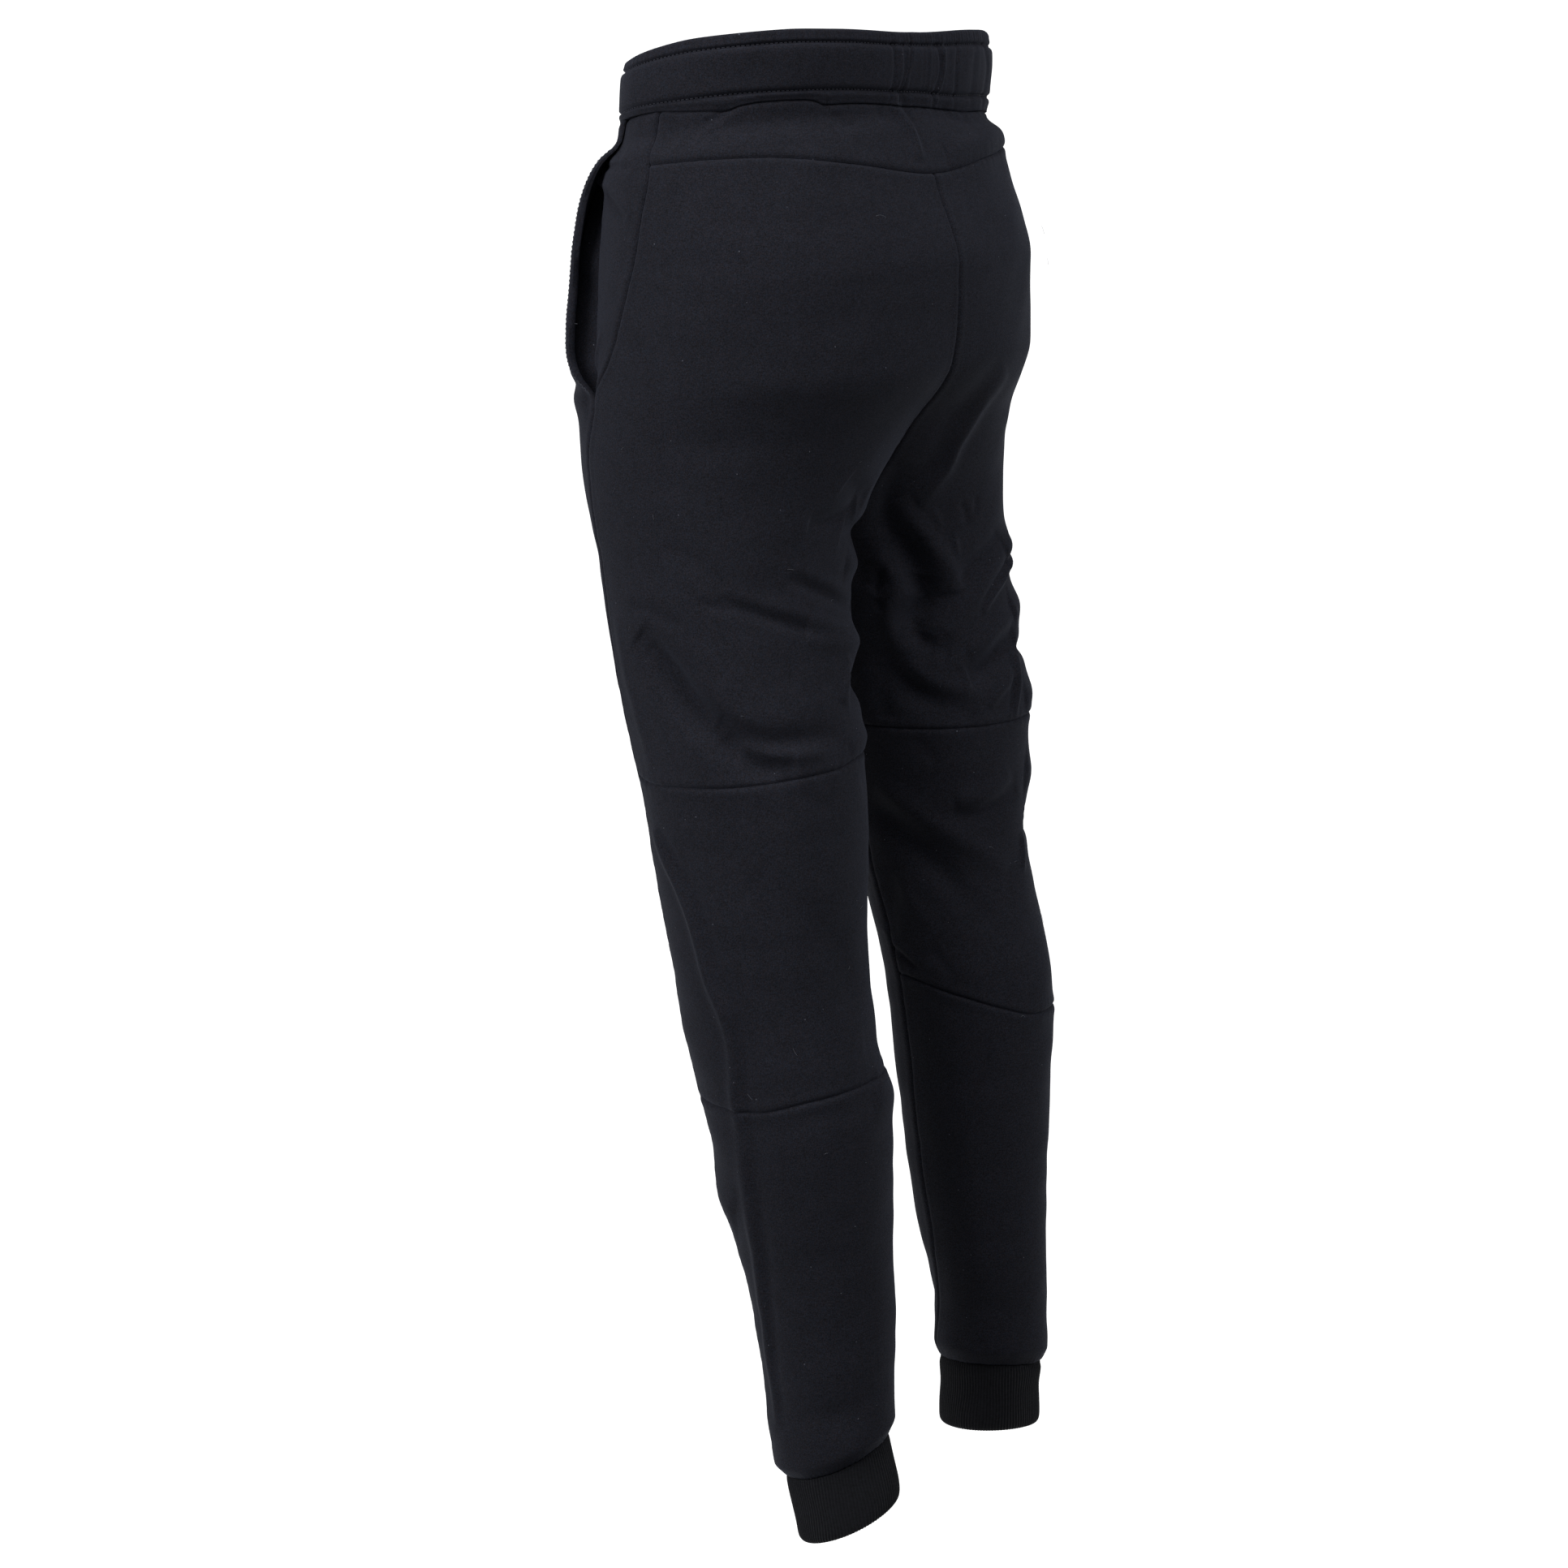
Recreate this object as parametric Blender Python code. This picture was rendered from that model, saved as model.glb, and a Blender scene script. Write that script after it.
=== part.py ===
"""Jogger sweatpants in fleece, worn and filled out, as hollow cloth pieces.

Every cut piece is its own closed wall. The front faces -Y, the wearer's left is +X and the origin
is the middle of the waistband. All the pieces lie on one surface, which is read at an angle round
the leg (0 is the outer side, 90 the back, -90 the front) and at a height, so neighbours share
their seams. Sizes are metres.
"""
import math

import bmesh
import bpy
import numpy as np

# Driving dimensions
WALL = 0.0022             # fleece
BAND_WALL = 0.0048        # waistband: fleece folded over the elastic
BAND_PUFF = 0.0016        # how far the waistband stands out between its two stitch rows
CUFF_WALL = 0.0024        # doubled rib, at the bottom of a rib's valley
SEAM_GAP = 0.0003         # between neighbouring pieces
CROTCH = -0.315           # height where the centre seam turns into the two inseams
POCKET_BOTTOM = -0.204    # lower end of the pocket mouth
POCKET_STAND = 0.0110     # how far the pocket mouth's edge stands out at its widest
POCKET_SINK = 0.0045      # how far the side panel falls back behind the mouth
POCKET_REACH = 0.045      # how far forward of the mouth the front is lifted
UNDER_FRONT = 0.0009      # side panel's clearance behind the front
POCKET_END_ANGLE = -45.0  # forward end of the side panel, behind the front
HEM_HEIGHT = {1: -0.935, -1: -0.923}      # bottom edge of each leg, where the cuff is sewn on
CUFF_BOTTOM = {1: -0.980, -1: -0.972}
CUFF_RIBS = 90            # raised ribs round one cuff
RIB_HEIGHT = 0.0007

LEFT = 1
RIGHT = -1
SIDE_NAMES = {LEFT: "left", RIGHT: "right"}

# Horizontal sections of one half. out and inn are its reach to the side and towards the middle
# (below zero it is cut off by the centre seam), back and front its reach in Y, square how boxy
# it is (2 is an ellipse).
#            height   out    inn     back    front   square
SECTIONS = [(0.050, 0.155, -0.155, 0.087, -0.088, 2.30),
            (0.025, 0.156, -0.156, 0.087, -0.090, 2.30),
            (-0.027, 0.159, -0.159, 0.085, -0.095, 2.30),
            (-0.043, 0.168, -0.168, 0.093, -0.107, 2.30),
            (-0.070, 0.173, -0.172, 0.105, -0.112, 2.25),
            (-0.125, 0.178, -0.165, 0.125, -0.124, 2.20),
            (-0.180, 0.180, -0.122, 0.122, -0.126, 2.10),
            (-0.230, 0.180, -0.062, 0.096, -0.118, 2.00),
            (-0.280, 0.179, -0.018, 0.082, -0.101, 2.05),
            (-0.315, 0.177, 0.001, 0.080, -0.088, 2.10),
            (-0.370, 0.177, 0.014, 0.086, -0.074, 2.10),
            (-0.420, 0.177, 0.022, 0.096, -0.059, 2.10),
            (-0.485, 0.174, 0.030, 0.104, -0.040, 2.10),
            (-0.590, 0.170, 0.041, 0.110, -0.017, 2.00),
            (-0.710, 0.160, 0.042, 0.129, 0.012, 2.00),
            (-0.810, 0.145, 0.046, 0.133, 0.035, 2.00),
            (-0.900, 0.135, 0.055, 0.135, 0.053, 2.00),
            (-1.000, 0.134, 0.056, 0.135, 0.055, 2.00)]

# How each half differs from the sections: moved back, its rings sloped (lean_out is the rise
# per metre outwards, lean_back per metre backwards), and its rings scaled (fullness).
#               height  back   lean_out lean_back fullness
POSE = {LEFT: [(0.050, 0.000, 0.000, 0.140, 1.000),
               (-0.030, 0.000, 0.000, 0.140, 1.000),
               (-0.100, 0.000, 0.000, 0.045, 1.000),
               (-0.200, 0.000, 0.000, 0.000, 1.000),
               (-0.315, 0.000, 0.000, 0.000, 1.000),
               (-0.485, 0.000, 0.000, 0.000, 1.030),
               (-0.710, 0.000, 0.000, 0.050, 1.060),
               (-0.810, -0.001, 0.000, 0.060, 1.040),
               (-0.890, -0.002, -0.120, 0.200, 1.080),
               (-0.924, 0.001, -0.240, 0.330, 1.060),
               (-0.936, 0.003, -0.270, 0.350, 0.890),
               (-0.982, 0.012, -0.270, 0.350, 0.880)],
        RIGHT: [(0.050, 0.000, -0.050, 0.140, 1.000),
                (-0.030, 0.000, -0.050, 0.140, 1.000),
                (-0.100, 0.000, 0.000, 0.045, 1.000),
                (-0.200, 0.000, 0.000, 0.000, 1.000),
                (-0.420, 0.000, 0.000, 0.000, 1.000),
                (-0.540, -0.004, 0.000, 0.020, 0.930),
                (-0.630, 0.009, 0.000, 0.030, 0.975),
                (-0.710, 0.002, 0.000, 0.030, 0.955),
                (-0.810, 0.000, 0.000, 0.030, 0.965),
                (-0.890, 0.000, -0.150, 0.060, 1.000),
                (-0.911, 0.000, -0.180, 0.070, 1.030),
                (-0.924, 0.000, -0.180, 0.080, 0.900),
                (-0.975, -0.002, -0.100, 0.110, 0.910)]}

# Seams that run down, as the angle at each height. The inseam is turned forward of the inner
# side, and the outseam well forward of the outer side, so the back pieces wrap round the leg.
#            height   angle
SIDE_SEAM = [(0.030, 2.0),
             (-0.025, 0.0),
             (-0.050, 1.0),
             (-0.077, -1.0),
             (-0.113, -4.0),
             (-0.150, -7.5),
             (-0.177, -12.0),
             (-0.204, -19.5)]
POCKET_MOUTH = [(0.030, -15.0),
                (-0.027, -16.0),
                (-0.075, -22.0),
                (-0.130, -26.0),
                (-0.175, -25.5),
                (-0.204, -19.5)]
OUTSEAM = [(-0.204, -19.5),
           (-0.250, -26.0),
           (-0.350, -36.0),
           (-0.485, -45.0),
           (-0.700, -50.0),
           (-0.850, -52.0),
           (-1.000, -52.0)]
INSEAM = [(-0.315, 180.0),
          (-0.400, 188.0),
          (-0.590, 197.0),
          (-0.810, 198.0),
          (-0.880, 211.0),
          (-0.920, 222.0),
          (-1.000, 224.0)]

# Seams that run round, as the height at each angle.
#             angle   height
WAIST_TOP_EDGE = [(-90.0, 0.025), (-20.0, 0.024), (10.0, 0.030), (45.0, 0.029), (90.0, 0.024)]
WAIST_SEAM = [(-90.0, -0.029), (-20.0, -0.024), (10.0, -0.018), (30.0, -0.020), (90.0, -0.030)]
YOKE_SEAM = [(-90.0, -0.049), (5.0, -0.048), (25.0, -0.050), (50.0, -0.058), (90.0, -0.067)]
ABOVE_KNEE = {LEFT: [(-165.0, -0.450), (-60.0, -0.453), (190.0, -0.450)],
              RIGHT: [(-165.0, -0.446), (-60.0, -0.450), (190.0, -0.446)]}
BELOW_KNEE = {LEFT: [(-163.0, -0.664), (-50.0, -0.676), (10.0, -0.676), (50.0, -0.668), (100.0, -0.663),
                     (197.0, -0.664)],
              RIGHT: [(-163.0, -0.628), (-50.0, -0.672), (60.0, -0.665), (125.0, -0.647), (197.0, -0.628)]}

# The share of the pocket's full depth at each height.
POCKET_DEPTH = [(0.030, 0.0),
                (-0.028, 0.0),
                (-0.070, 0.95),
                (-0.120, 0.75),
                (-0.165, 0.95),
                (-0.188, 0.80),
                (-0.204, 0.0)]

# The largest folds: each runs from a start through a middle to an end, given as angle and
# height, and is a soft ridge (rise above zero) or trough (below zero) of the given half width.
#         side   start          middle         end            width  rise
FOLDS = [(LEFT, 1.0, -0.352, 34.0, -0.428, 95.0, -0.440, 0.013, -0.0045),
         (LEFT, 20.0, -0.385, 50.0, -0.448, 100.0, -0.436, 0.010, 0.0020),
         (LEFT, 45.0, -0.333, 76.0, -0.356, 125.0, -0.385, 0.009, -0.0040),
         (LEFT, 60.0, -0.319, 88.0, -0.331, 118.0, -0.352, 0.006, -0.0030),
         (LEFT, -31.0, -0.490, 2.0, -0.580, 2.0, -0.680, 0.009, 0.0040),
         (LEFT, 120.0, -0.400, 150.0, -0.440, 195.0, -0.430, 0.012, -0.0050),
         (LEFT, 96.0, -0.672, 130.0, -0.680, 172.0, -0.676, 0.014, 0.0045),
         (LEFT, -24.0, -0.203, -42.0, -0.208, -66.0, -0.200, 0.012, 0.0040),
         (RIGHT, 12.0, -0.038, 46.0, -0.046, 80.0, -0.056, 0.009, 0.0050),
         (RIGHT, 70.0, -0.195, 98.0, -0.238, 122.0, -0.292, 0.008, 0.0035),
         (RIGHT, 128.0, -0.285, 108.0, -0.330, 134.0, -0.385, 0.014, -0.0090),
         (RIGHT, 120.0, -0.285, 100.0, -0.330, 96.0, -0.350, 0.009, 0.0040),
         (RIGHT, 150.0, -0.360, 135.0, -0.450, 62.0, -0.378, 0.013, -0.0050),
         (RIGHT, 165.0, -0.420, 136.0, -0.440, 92.0, -0.440, 0.009, -0.0035),
         (RIGHT, 182.0, -0.486, 152.0, -0.528, 110.0, -0.552, 0.014, -0.0045),
         (RIGHT, 70.0, -0.395, 86.0, -0.425, 104.0, -0.440, 0.009, 0.0040),
         (RIGHT, 62.0, -0.298, 56.0, -0.335, 46.0, -0.372, 0.018, 0.0045),
         (LEFT, -150.0, -0.345, -115.0, -0.380, -75.0, -0.395, 0.011, -0.0045),
         (RIGHT, -145.0, -0.350, -105.0, -0.392, -70.0, -0.400, 0.012, -0.0045),
         (LEFT, -140.0, -0.560, -100.0, -0.585, -60.0, -0.560, 0.013, -0.0040),
         (RIGHT, -135.0, -0.540, -95.0, -0.570, -55.0, -0.565, 0.013, -0.0040),
         (LEFT, -88.0, -0.210, -70.0, -0.255, -50.0, -0.290, 0.012, -0.0035),
         (RIGHT, -88.0, -0.215, -68.0, -0.250, -48.0, -0.300, 0.012, -0.0035)]
FOLD_SAMPLES = 14
FOLD_FADE = 0.030         # folds fade out this far from the centre seam

# Gathers of the waistband's elastic, as soft upright troughs.
#            side   angle width  depth
GATHERS = [(LEFT, 84.0, 0.0035, 0.0014),
           (LEFT, 60.0, 0.0060, 0.0008),
           (LEFT, 30.0, 0.0080, 0.0007),
           (LEFT, -35.0, 0.0060, 0.0009),
           (LEFT, -62.0, 0.0050, 0.0011),
           (LEFT, -80.0, 0.0040, 0.0013),
           (RIGHT, 78.0, 0.0035, 0.0014),
           (RIGHT, 70.0, 0.0030, 0.0012),
           (RIGHT, 48.0, 0.0050, 0.0009),
           (RIGHT, 15.0, 0.0070, 0.0008),
           (RIGHT, -30.0, 0.0060, 0.0009),
           (RIGHT, -58.0, 0.0050, 0.0011),
           (RIGHT, -76.0, 0.0040, 0.0013)]

# Faces: rows down each stretch between two seams, columns across each piece.
ROWS = {"yoke": 2, "seat": 6, "crotch": 5, "thigh": 6, "knee": 6, "calf": 8}
CROTCH_CROWDING = 1.8     # rows stand closer towards the crotch
BACK_COLUMNS = 20
FRONT_COLUMNS = 10
SIDE_SEEN_COLUMNS = 3
SIDE_HIDDEN_COLUMNS = 3

# Colours, linear
FLEECE = (0.0137, 0.0144, 0.0203)
RIB = (0.0086, 0.0090, 0.0110)

for item in list(bpy.data.objects):
    bpy.data.objects.remove(item, do_unlink=True)


def read(table, column, at):
    """Read one column of a table smoothly, with no overshoot between its rows."""
    rows = np.array(table, dtype=float)
    if rows[0, 0] > rows[-1, 0]:
        rows = rows[::-1]
    places = rows[:, 0]
    values = rows[:, column]
    steps = np.diff(places)
    slopes = np.diff(values) / steps
    tangents = np.zeros(len(values))
    for i in range(1, len(values) - 1):
        if slopes[i - 1] * slopes[i] > 0:
            before = 2 * steps[i] + steps[i - 1]
            after = steps[i] + 2 * steps[i - 1]
            tangents[i] = (before + after) / (before / slopes[i - 1] + after / slopes[i])
    at = np.clip(np.asarray(at, dtype=float), places[0], places[-1])
    i = np.clip(np.searchsorted(places, at, side="right") - 1, 0, len(steps) - 1)
    t = (at - places[i]) / steps[i]
    start = (2 * t**3 - 3 * t**2 + 1) * values[i] + (t**3 - 2 * t**2 + t) * steps[i] * tangents[i]
    end = (3 * t**2 - 2 * t**3) * values[i + 1] + (t**3 - t**2) * steps[i] * tangents[i + 1]
    return start + end


def ease(t):
    """Rise smoothly from 0 at 0 to 1 at 1."""
    t = np.clip(t, 0.0, 1.0)
    return t * t * (3 - 2 * t)


def section(height):
    """Centre, half sizes and squareness of the section at a height."""
    out = read(SECTIONS, 1, height)
    inn = read(SECTIONS, 2, height)
    back = read(SECTIONS, 3, height)
    front = read(SECTIONS, 4, height)
    square = read(SECTIONS, 5, height)
    return (out + inn) / 2, (back + front) / 2, (out - inn) / 2, (back - front) / 2, square


def centre_angle(height):
    """Angle at which the section meets the middle plane, above the crotch."""
    middle_x, _, half_x, half_y, square = section(height)
    share = np.clip(middle_x / half_x, 0.0, 1.0)
    reach = half_y * np.power(1 - share**square, 1 / square)
    return np.arctan2(reach, -middle_x)


def ring_point(angle, height, side):
    """Point of the plain garment surface, without folds."""
    middle_x, middle_y, half_x, half_y, square = section(height)
    moved_back = read(POSE[side], 1, height)
    lean_out = read(POSE[side], 2, height)
    lean_back = read(POSE[side], 3, height)
    fullness = read(POSE[side], 4, height)
    cosine = np.cos(angle)
    sine = np.sin(angle)
    sum_of_powers = np.abs(cosine / half_x)**square + np.abs(sine / half_y)**square
    radius = fullness / np.power(sum_of_powers, 1 / square)
    outward = radius * cosine
    backward = radius * sine
    x = side * (middle_x + outward)
    y = middle_y + moved_back + backward
    z = height + lean_out * outward + lean_back * backward
    return np.stack([x, y, z], axis=-1)


def fold_rise(angle, height, side):
    """How far the folds lift the surface, with troughs below zero."""
    rise = np.zeros(np.shape(angle))
    for fold in FOLDS:
        if fold[0] != side:
            continue
        start_angle, start_height, middle_angle, middle_height, end_angle, end_height = fold[1:7]
        width, top = fold[7:9]
        radius = float(np.mean(section(middle_height)[2:4]))
        middle = math.radians(middle_angle)
        turned = middle + (angle - middle + math.pi) % (2 * math.pi) - math.pi
        t = np.linspace(0, 1, FOLD_SAMPLES + 1)
        weights = ((1 - t)**2, 2 * t * (1 - t), t**2)
        bend_angle = 2 * middle_angle - (start_angle + end_angle) / 2
        bend_height = 2 * middle_height - (start_height + end_height) / 2
        line_x = np.radians(weights[0] * start_angle + weights[1] * bend_angle + weights[2] * end_angle)
        line_x = line_x * radius
        line_y = weights[0] * start_height + weights[1] * bend_height + weights[2] * end_height
        nearest = np.full(np.shape(angle), 1e9)
        along = np.zeros(np.shape(angle))
        for i in range(FOLD_SAMPLES):
            run_x = line_x[i + 1] - line_x[i]
            run_y = line_y[i + 1] - line_y[i]
            away_x = turned * radius - line_x[i]
            away_y = height - line_y[i]
            part = np.clip((away_x * run_x + away_y * run_y) / (run_x**2 + run_y**2), 0, 1)
            distance = np.hypot(away_x - part * run_x, away_y - part * run_y)
            closer = distance < nearest
            nearest = np.where(closer, distance, nearest)
            along = np.where(closer, (i + part) / FOLD_SAMPLES, along)
        rise = rise + top * np.sin(np.pi * along)**0.6 * np.exp(-(nearest / width)**2)
    x = np.abs(ring_point(angle, height, side)[..., 0])
    return rise * np.where(height > CROTCH - FOLD_FADE, ease(x / FOLD_FADE), 1.0)


def pocket_rise(angle, height, layer):
    """How far the front's mouth edge stands out, or the side panel falls back behind it."""
    if layer == "plain":
        return np.zeros(np.shape(angle))
    depth = read(POCKET_DEPTH, 1, height)
    mouth = np.radians(read(POCKET_MOUTH, 1, height))
    radius = float(np.mean(section(-0.12)[2:4]))
    forward = (mouth - angle) * radius
    lift = POCKET_STAND * depth * np.exp(-(np.maximum(forward, 0) / POCKET_REACH)**2)
    if layer == "front":
        return np.where(height > POCKET_BOTTOM, lift, 0.0)
    seam = np.radians(read(SIDE_SEAM, 1, height))
    across = (seam - angle) / np.maximum(seam - mouth, 0.02)
    least = WALL + UNDER_FRONT
    back_to_front = ease((np.radians(-28.0) - angle) / np.radians(14.0))
    sink = least + POCKET_SINK * depth * (1 - back_to_front)
    follow = lift * back_to_front
    return follow - sink * ease(across)


def surface(angle, height, side, layer="plain"):
    """Outer points of the cloth and their outward directions."""
    small_turn = 1e-3
    small_drop = 1e-4
    point = ring_point(angle, height, side)
    along = ring_point(angle + small_turn, height, side) - ring_point(angle - small_turn, height, side)
    down = ring_point(angle, height - small_drop, side) - ring_point(angle, height + small_drop, side)
    normal = np.cross(down, along) * side
    normal = normal / np.linalg.norm(normal, axis=-1, keepdims=True)
    rise = fold_rise(angle, height, side) + pocket_rise(angle, height, layer)
    return point + normal * rise[..., None], normal


def line_height(table, angle):
    """Height of a seam that runs round, at an angle in radians."""
    return read(table, 1, np.degrees(angle))


def band_lines(side):
    """The lines between the stretches of rows, from the waistband's seam to the leg's hem."""
    return [lambda a: line_height(WAIST_SEAM, a),
            lambda a: line_height(YOKE_SEAM, a),
            lambda a: np.full(np.shape(a), POCKET_BOTTOM),
            lambda a: np.full(np.shape(a), CROTCH),
            lambda a: line_height(ABOVE_KNEE[side], a),
            lambda a: line_height(BELOW_KNEE[side], a),
            lambda a: np.full(np.shape(a), HEM_HEIGHT[side])]


STRETCHES = ["yoke", "seat", "crotch", "thigh", "knee", "calf"]


def back_edge(height):
    """Angle of the centre back seam and, below the crotch, of the inseam."""
    return np.where(height >= CROTCH, centre_angle(height), np.radians(read(INSEAM, 1, height)))


def front_edge(height):
    """Angle of the centre front seam and of the inseam, reached from the front."""
    inseam = np.radians(read(INSEAM, 1, height)) - 2 * math.pi
    return np.where(height >= CROTCH, -centre_angle(height), inseam)


def outer_edge_of_back(height):
    """Angle of the side seam and, below the pocket, of the outseam."""
    side_seam = np.radians(read(SIDE_SEAM, 1, height))
    return np.where(height > POCKET_BOTTOM, side_seam, np.radians(read(OUTSEAM, 1, height)))


def outer_edge_of_front(height):
    """Angle of the pocket mouth and, below the pocket, of the outseam."""
    mouth = np.radians(read(POCKET_MOUTH, 1, height))
    return np.where(height > POCKET_BOTTOM, mouth, np.radians(read(OUTSEAM, 1, height)))


def pocket_end(height):
    """Angle of the side panel's forward end, behind the front."""
    return np.full(np.shape(height), math.radians(POCKET_END_ANGLE))


def piece_grid(side, first, last, edge_a, edge_b, columns, end_cut=0.0):
    """Angles and heights of a piece's points, rows down from one line to another."""
    lines = band_lines(side)
    shares = np.linspace(0, 1, columns + 1)
    angles = []
    heights = []
    for index in range(STRETCHES.index(first), STRETCHES.index(last) + 1):
        count = ROWS[STRETCHES[index]]
        for row in range(0 if not angles else 1, count + 1):
            t = row / count
            if STRETCHES[index] == "crotch":
                t = 1 - (1 - t)**CROTCH_CROWDING
            if end_cut and STRETCHES[index] == last and row == count:
                t -= end_cut
            height = np.full(columns + 1, -0.2)
            for _ in range(12):
                angle = edge_a(height) + (edge_b(height) - edge_a(height)) * shares
                height = lines[index](angle) * (1 - t) + lines[index + 1](angle) * t
            angles.append(angle)
            heights.append(height)
    return np.array(angles), np.array(heights)


def inset(points):
    """Draw the border of a grid of points in by half a seam gap."""
    moved = points.copy()
    for axis in (0, 1):
        turned = np.moveaxis(moved, axis, 0)
        source = np.moveaxis(points, axis, 0)
        for edge, inner in ((0, 1), (-1, -2)):
            step = source[inner] - source[edge]
            length = np.linalg.norm(step, axis=-1, keepdims=True)
            turned[edge] += step / length * SEAM_GAP / 2
    return moved


def make_material(name, colour):
    """Plain matt cloth."""
    material = bpy.data.materials.new(name)
    material.use_nodes = True
    shader = material.node_tree.nodes["Principled BSDF"]
    shader.inputs["Base Color"].default_value = (*colour, 1.0)
    shader.inputs["Roughness"].default_value = 0.9
    shader.inputs["Metallic"].default_value = 0.0
    return material


def make_object(name, mesh_data, colour):
    """Turn a bmesh into a shaded object with its own material."""
    bmesh.ops.recalc_face_normals(mesh_data, faces=mesh_data.faces)
    mesh = bpy.data.meshes.new(name)
    mesh_data.to_mesh(mesh)
    mesh_data.free()
    mesh.shade_smooth()
    mesh.set_sharp_from_angle(angle=math.radians(50))
    mesh.materials.append(make_material(name, colour))
    piece = bpy.data.objects.new(name, mesh)
    bpy.context.scene.collection.objects.link(piece)
    return piece


def wall_from_grids(name, outer, inner, colour):
    """Close a sheet: an outer grid, an inner grid and a rim between their borders."""
    rows, columns = outer.shape[:2]
    mesh_data = bmesh.new()
    outside = [[mesh_data.verts.new(outer[r, c]) for c in range(columns)] for r in range(rows)]
    inside = [[mesh_data.verts.new(inner[r, c]) for c in range(columns)] for r in range(rows)]
    for r in range(rows - 1):
        for c in range(columns - 1):
            for grid in (outside, inside):
                mesh_data.faces.new((grid[r][c], grid[r][c + 1], grid[r + 1][c + 1], grid[r + 1][c]))
    border = [(0, c) for c in range(columns - 1)]
    border += [(r, columns - 1) for r in range(rows - 1)]
    border += [(rows - 1, c) for c in range(columns - 1, 0, -1)]
    border += [(r, 0) for r in range(rows - 1, 0, -1)]
    for (r, c), (next_r, next_c) in zip(border, border[1:] + border[:1]):
        mesh_data.faces.new((outside[r][c], outside[next_r][next_c], inside[next_r][next_c], inside[r][c]))
    return make_object(name, mesh_data, colour)


def wall_from_rings(name, profile, colour):
    """Close a tube: rings in order down its outside and up its inside."""
    mesh_data = bmesh.new()
    rings = [[mesh_data.verts.new(point) for point in ring] for ring in profile]
    count = len(rings[0])
    for ring, following in zip(rings, rings[1:] + rings[:1]):
        for i in range(count):
            j = (i + 1) % count
            mesh_data.faces.new((ring[i], ring[j], following[j], following[i]))
    return make_object(name, mesh_data, colour)


def make_panel(name, side, grid, layer, colour):
    """One cut piece of fleece on one side of the body."""
    points, normals = surface(*grid, side, layer)
    wall_from_grids(name, inset(points), inset(points - normals * WALL), colour)


def make_back(side):
    """Thigh, knee and calf sections, cut across above and below the knee."""
    for part, first, last in (("thigh", "seat", "thigh"), ("knee", "knee", "knee"), ("calf", "calf", "calf")):
        grid = piece_grid(side, first, last, outer_edge_of_back, back_edge, BACK_COLUMNS)
        make_panel(f"back_{part}_{SIDE_NAMES[side]}", side, grid, "plain", FLEECE)


def make_front(side):
    """Full-length front, with the hemmed pocket mouth standing out from the side panel."""
    grid = piece_grid(side, "yoke", "calf", outer_edge_of_front, front_edge, FRONT_COLUMNS)
    make_panel(f"front_{SIDE_NAMES[side]}", side, grid, "front", FLEECE)


def make_side_panel(side):
    """Side panel, seen inside the pocket mouth and carried on behind the front."""
    seen = piece_grid(side, "yoke", "seat", outer_edge_of_back, outer_edge_of_front,
                      SIDE_SEEN_COLUMNS, end_cut=0.1)
    hidden = piece_grid(side, "yoke", "seat", outer_edge_of_front, pocket_end,
                        SIDE_HIDDEN_COLUMNS, end_cut=0.1)
    grid = [np.concatenate([a, b[:, 1:]], axis=1) for a, b in zip(seen, hidden)]
    make_panel(f"side_panel_{SIDE_NAMES[side]}", side, grid, "side", FLEECE)


def make_yoke():
    """Back yoke, one piece from side seam to side seam under the waistband."""
    halves = []
    for side in (RIGHT, LEFT):
        grid = piece_grid(side, "yoke", "yoke", outer_edge_of_back, back_edge, BACK_COLUMNS)
        halves.append(surface(*grid, side))
    points = np.concatenate([halves[0][0], halves[1][0][:, -2::-1]], axis=1)
    normals = np.concatenate([halves[0][1], halves[1][1][:, -2::-1]], axis=1)
    normals[:, BACK_COLUMNS, 0] = 0.0
    wall_from_grids("back_yoke", inset(points), inset(points - normals * WALL), FLEECE)


def waist_angles():
    """Angles of the pieces' columns along the waistband's seam, from the back to the front."""
    edges = []
    for edge_a, edge_b, columns in ((back_edge, outer_edge_of_back, BACK_COLUMNS),
                                    (outer_edge_of_back, outer_edge_of_front, SIDE_SEEN_COLUMNS),
                                    (outer_edge_of_front, front_edge, FRONT_COLUMNS)):
        grid = piece_grid(LEFT, "yoke", "yoke", edge_a, edge_b, columns)
        edges.append(grid[0][0][:-1])
    return np.concatenate(edges + [np.array([-math.pi / 2])])


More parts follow.
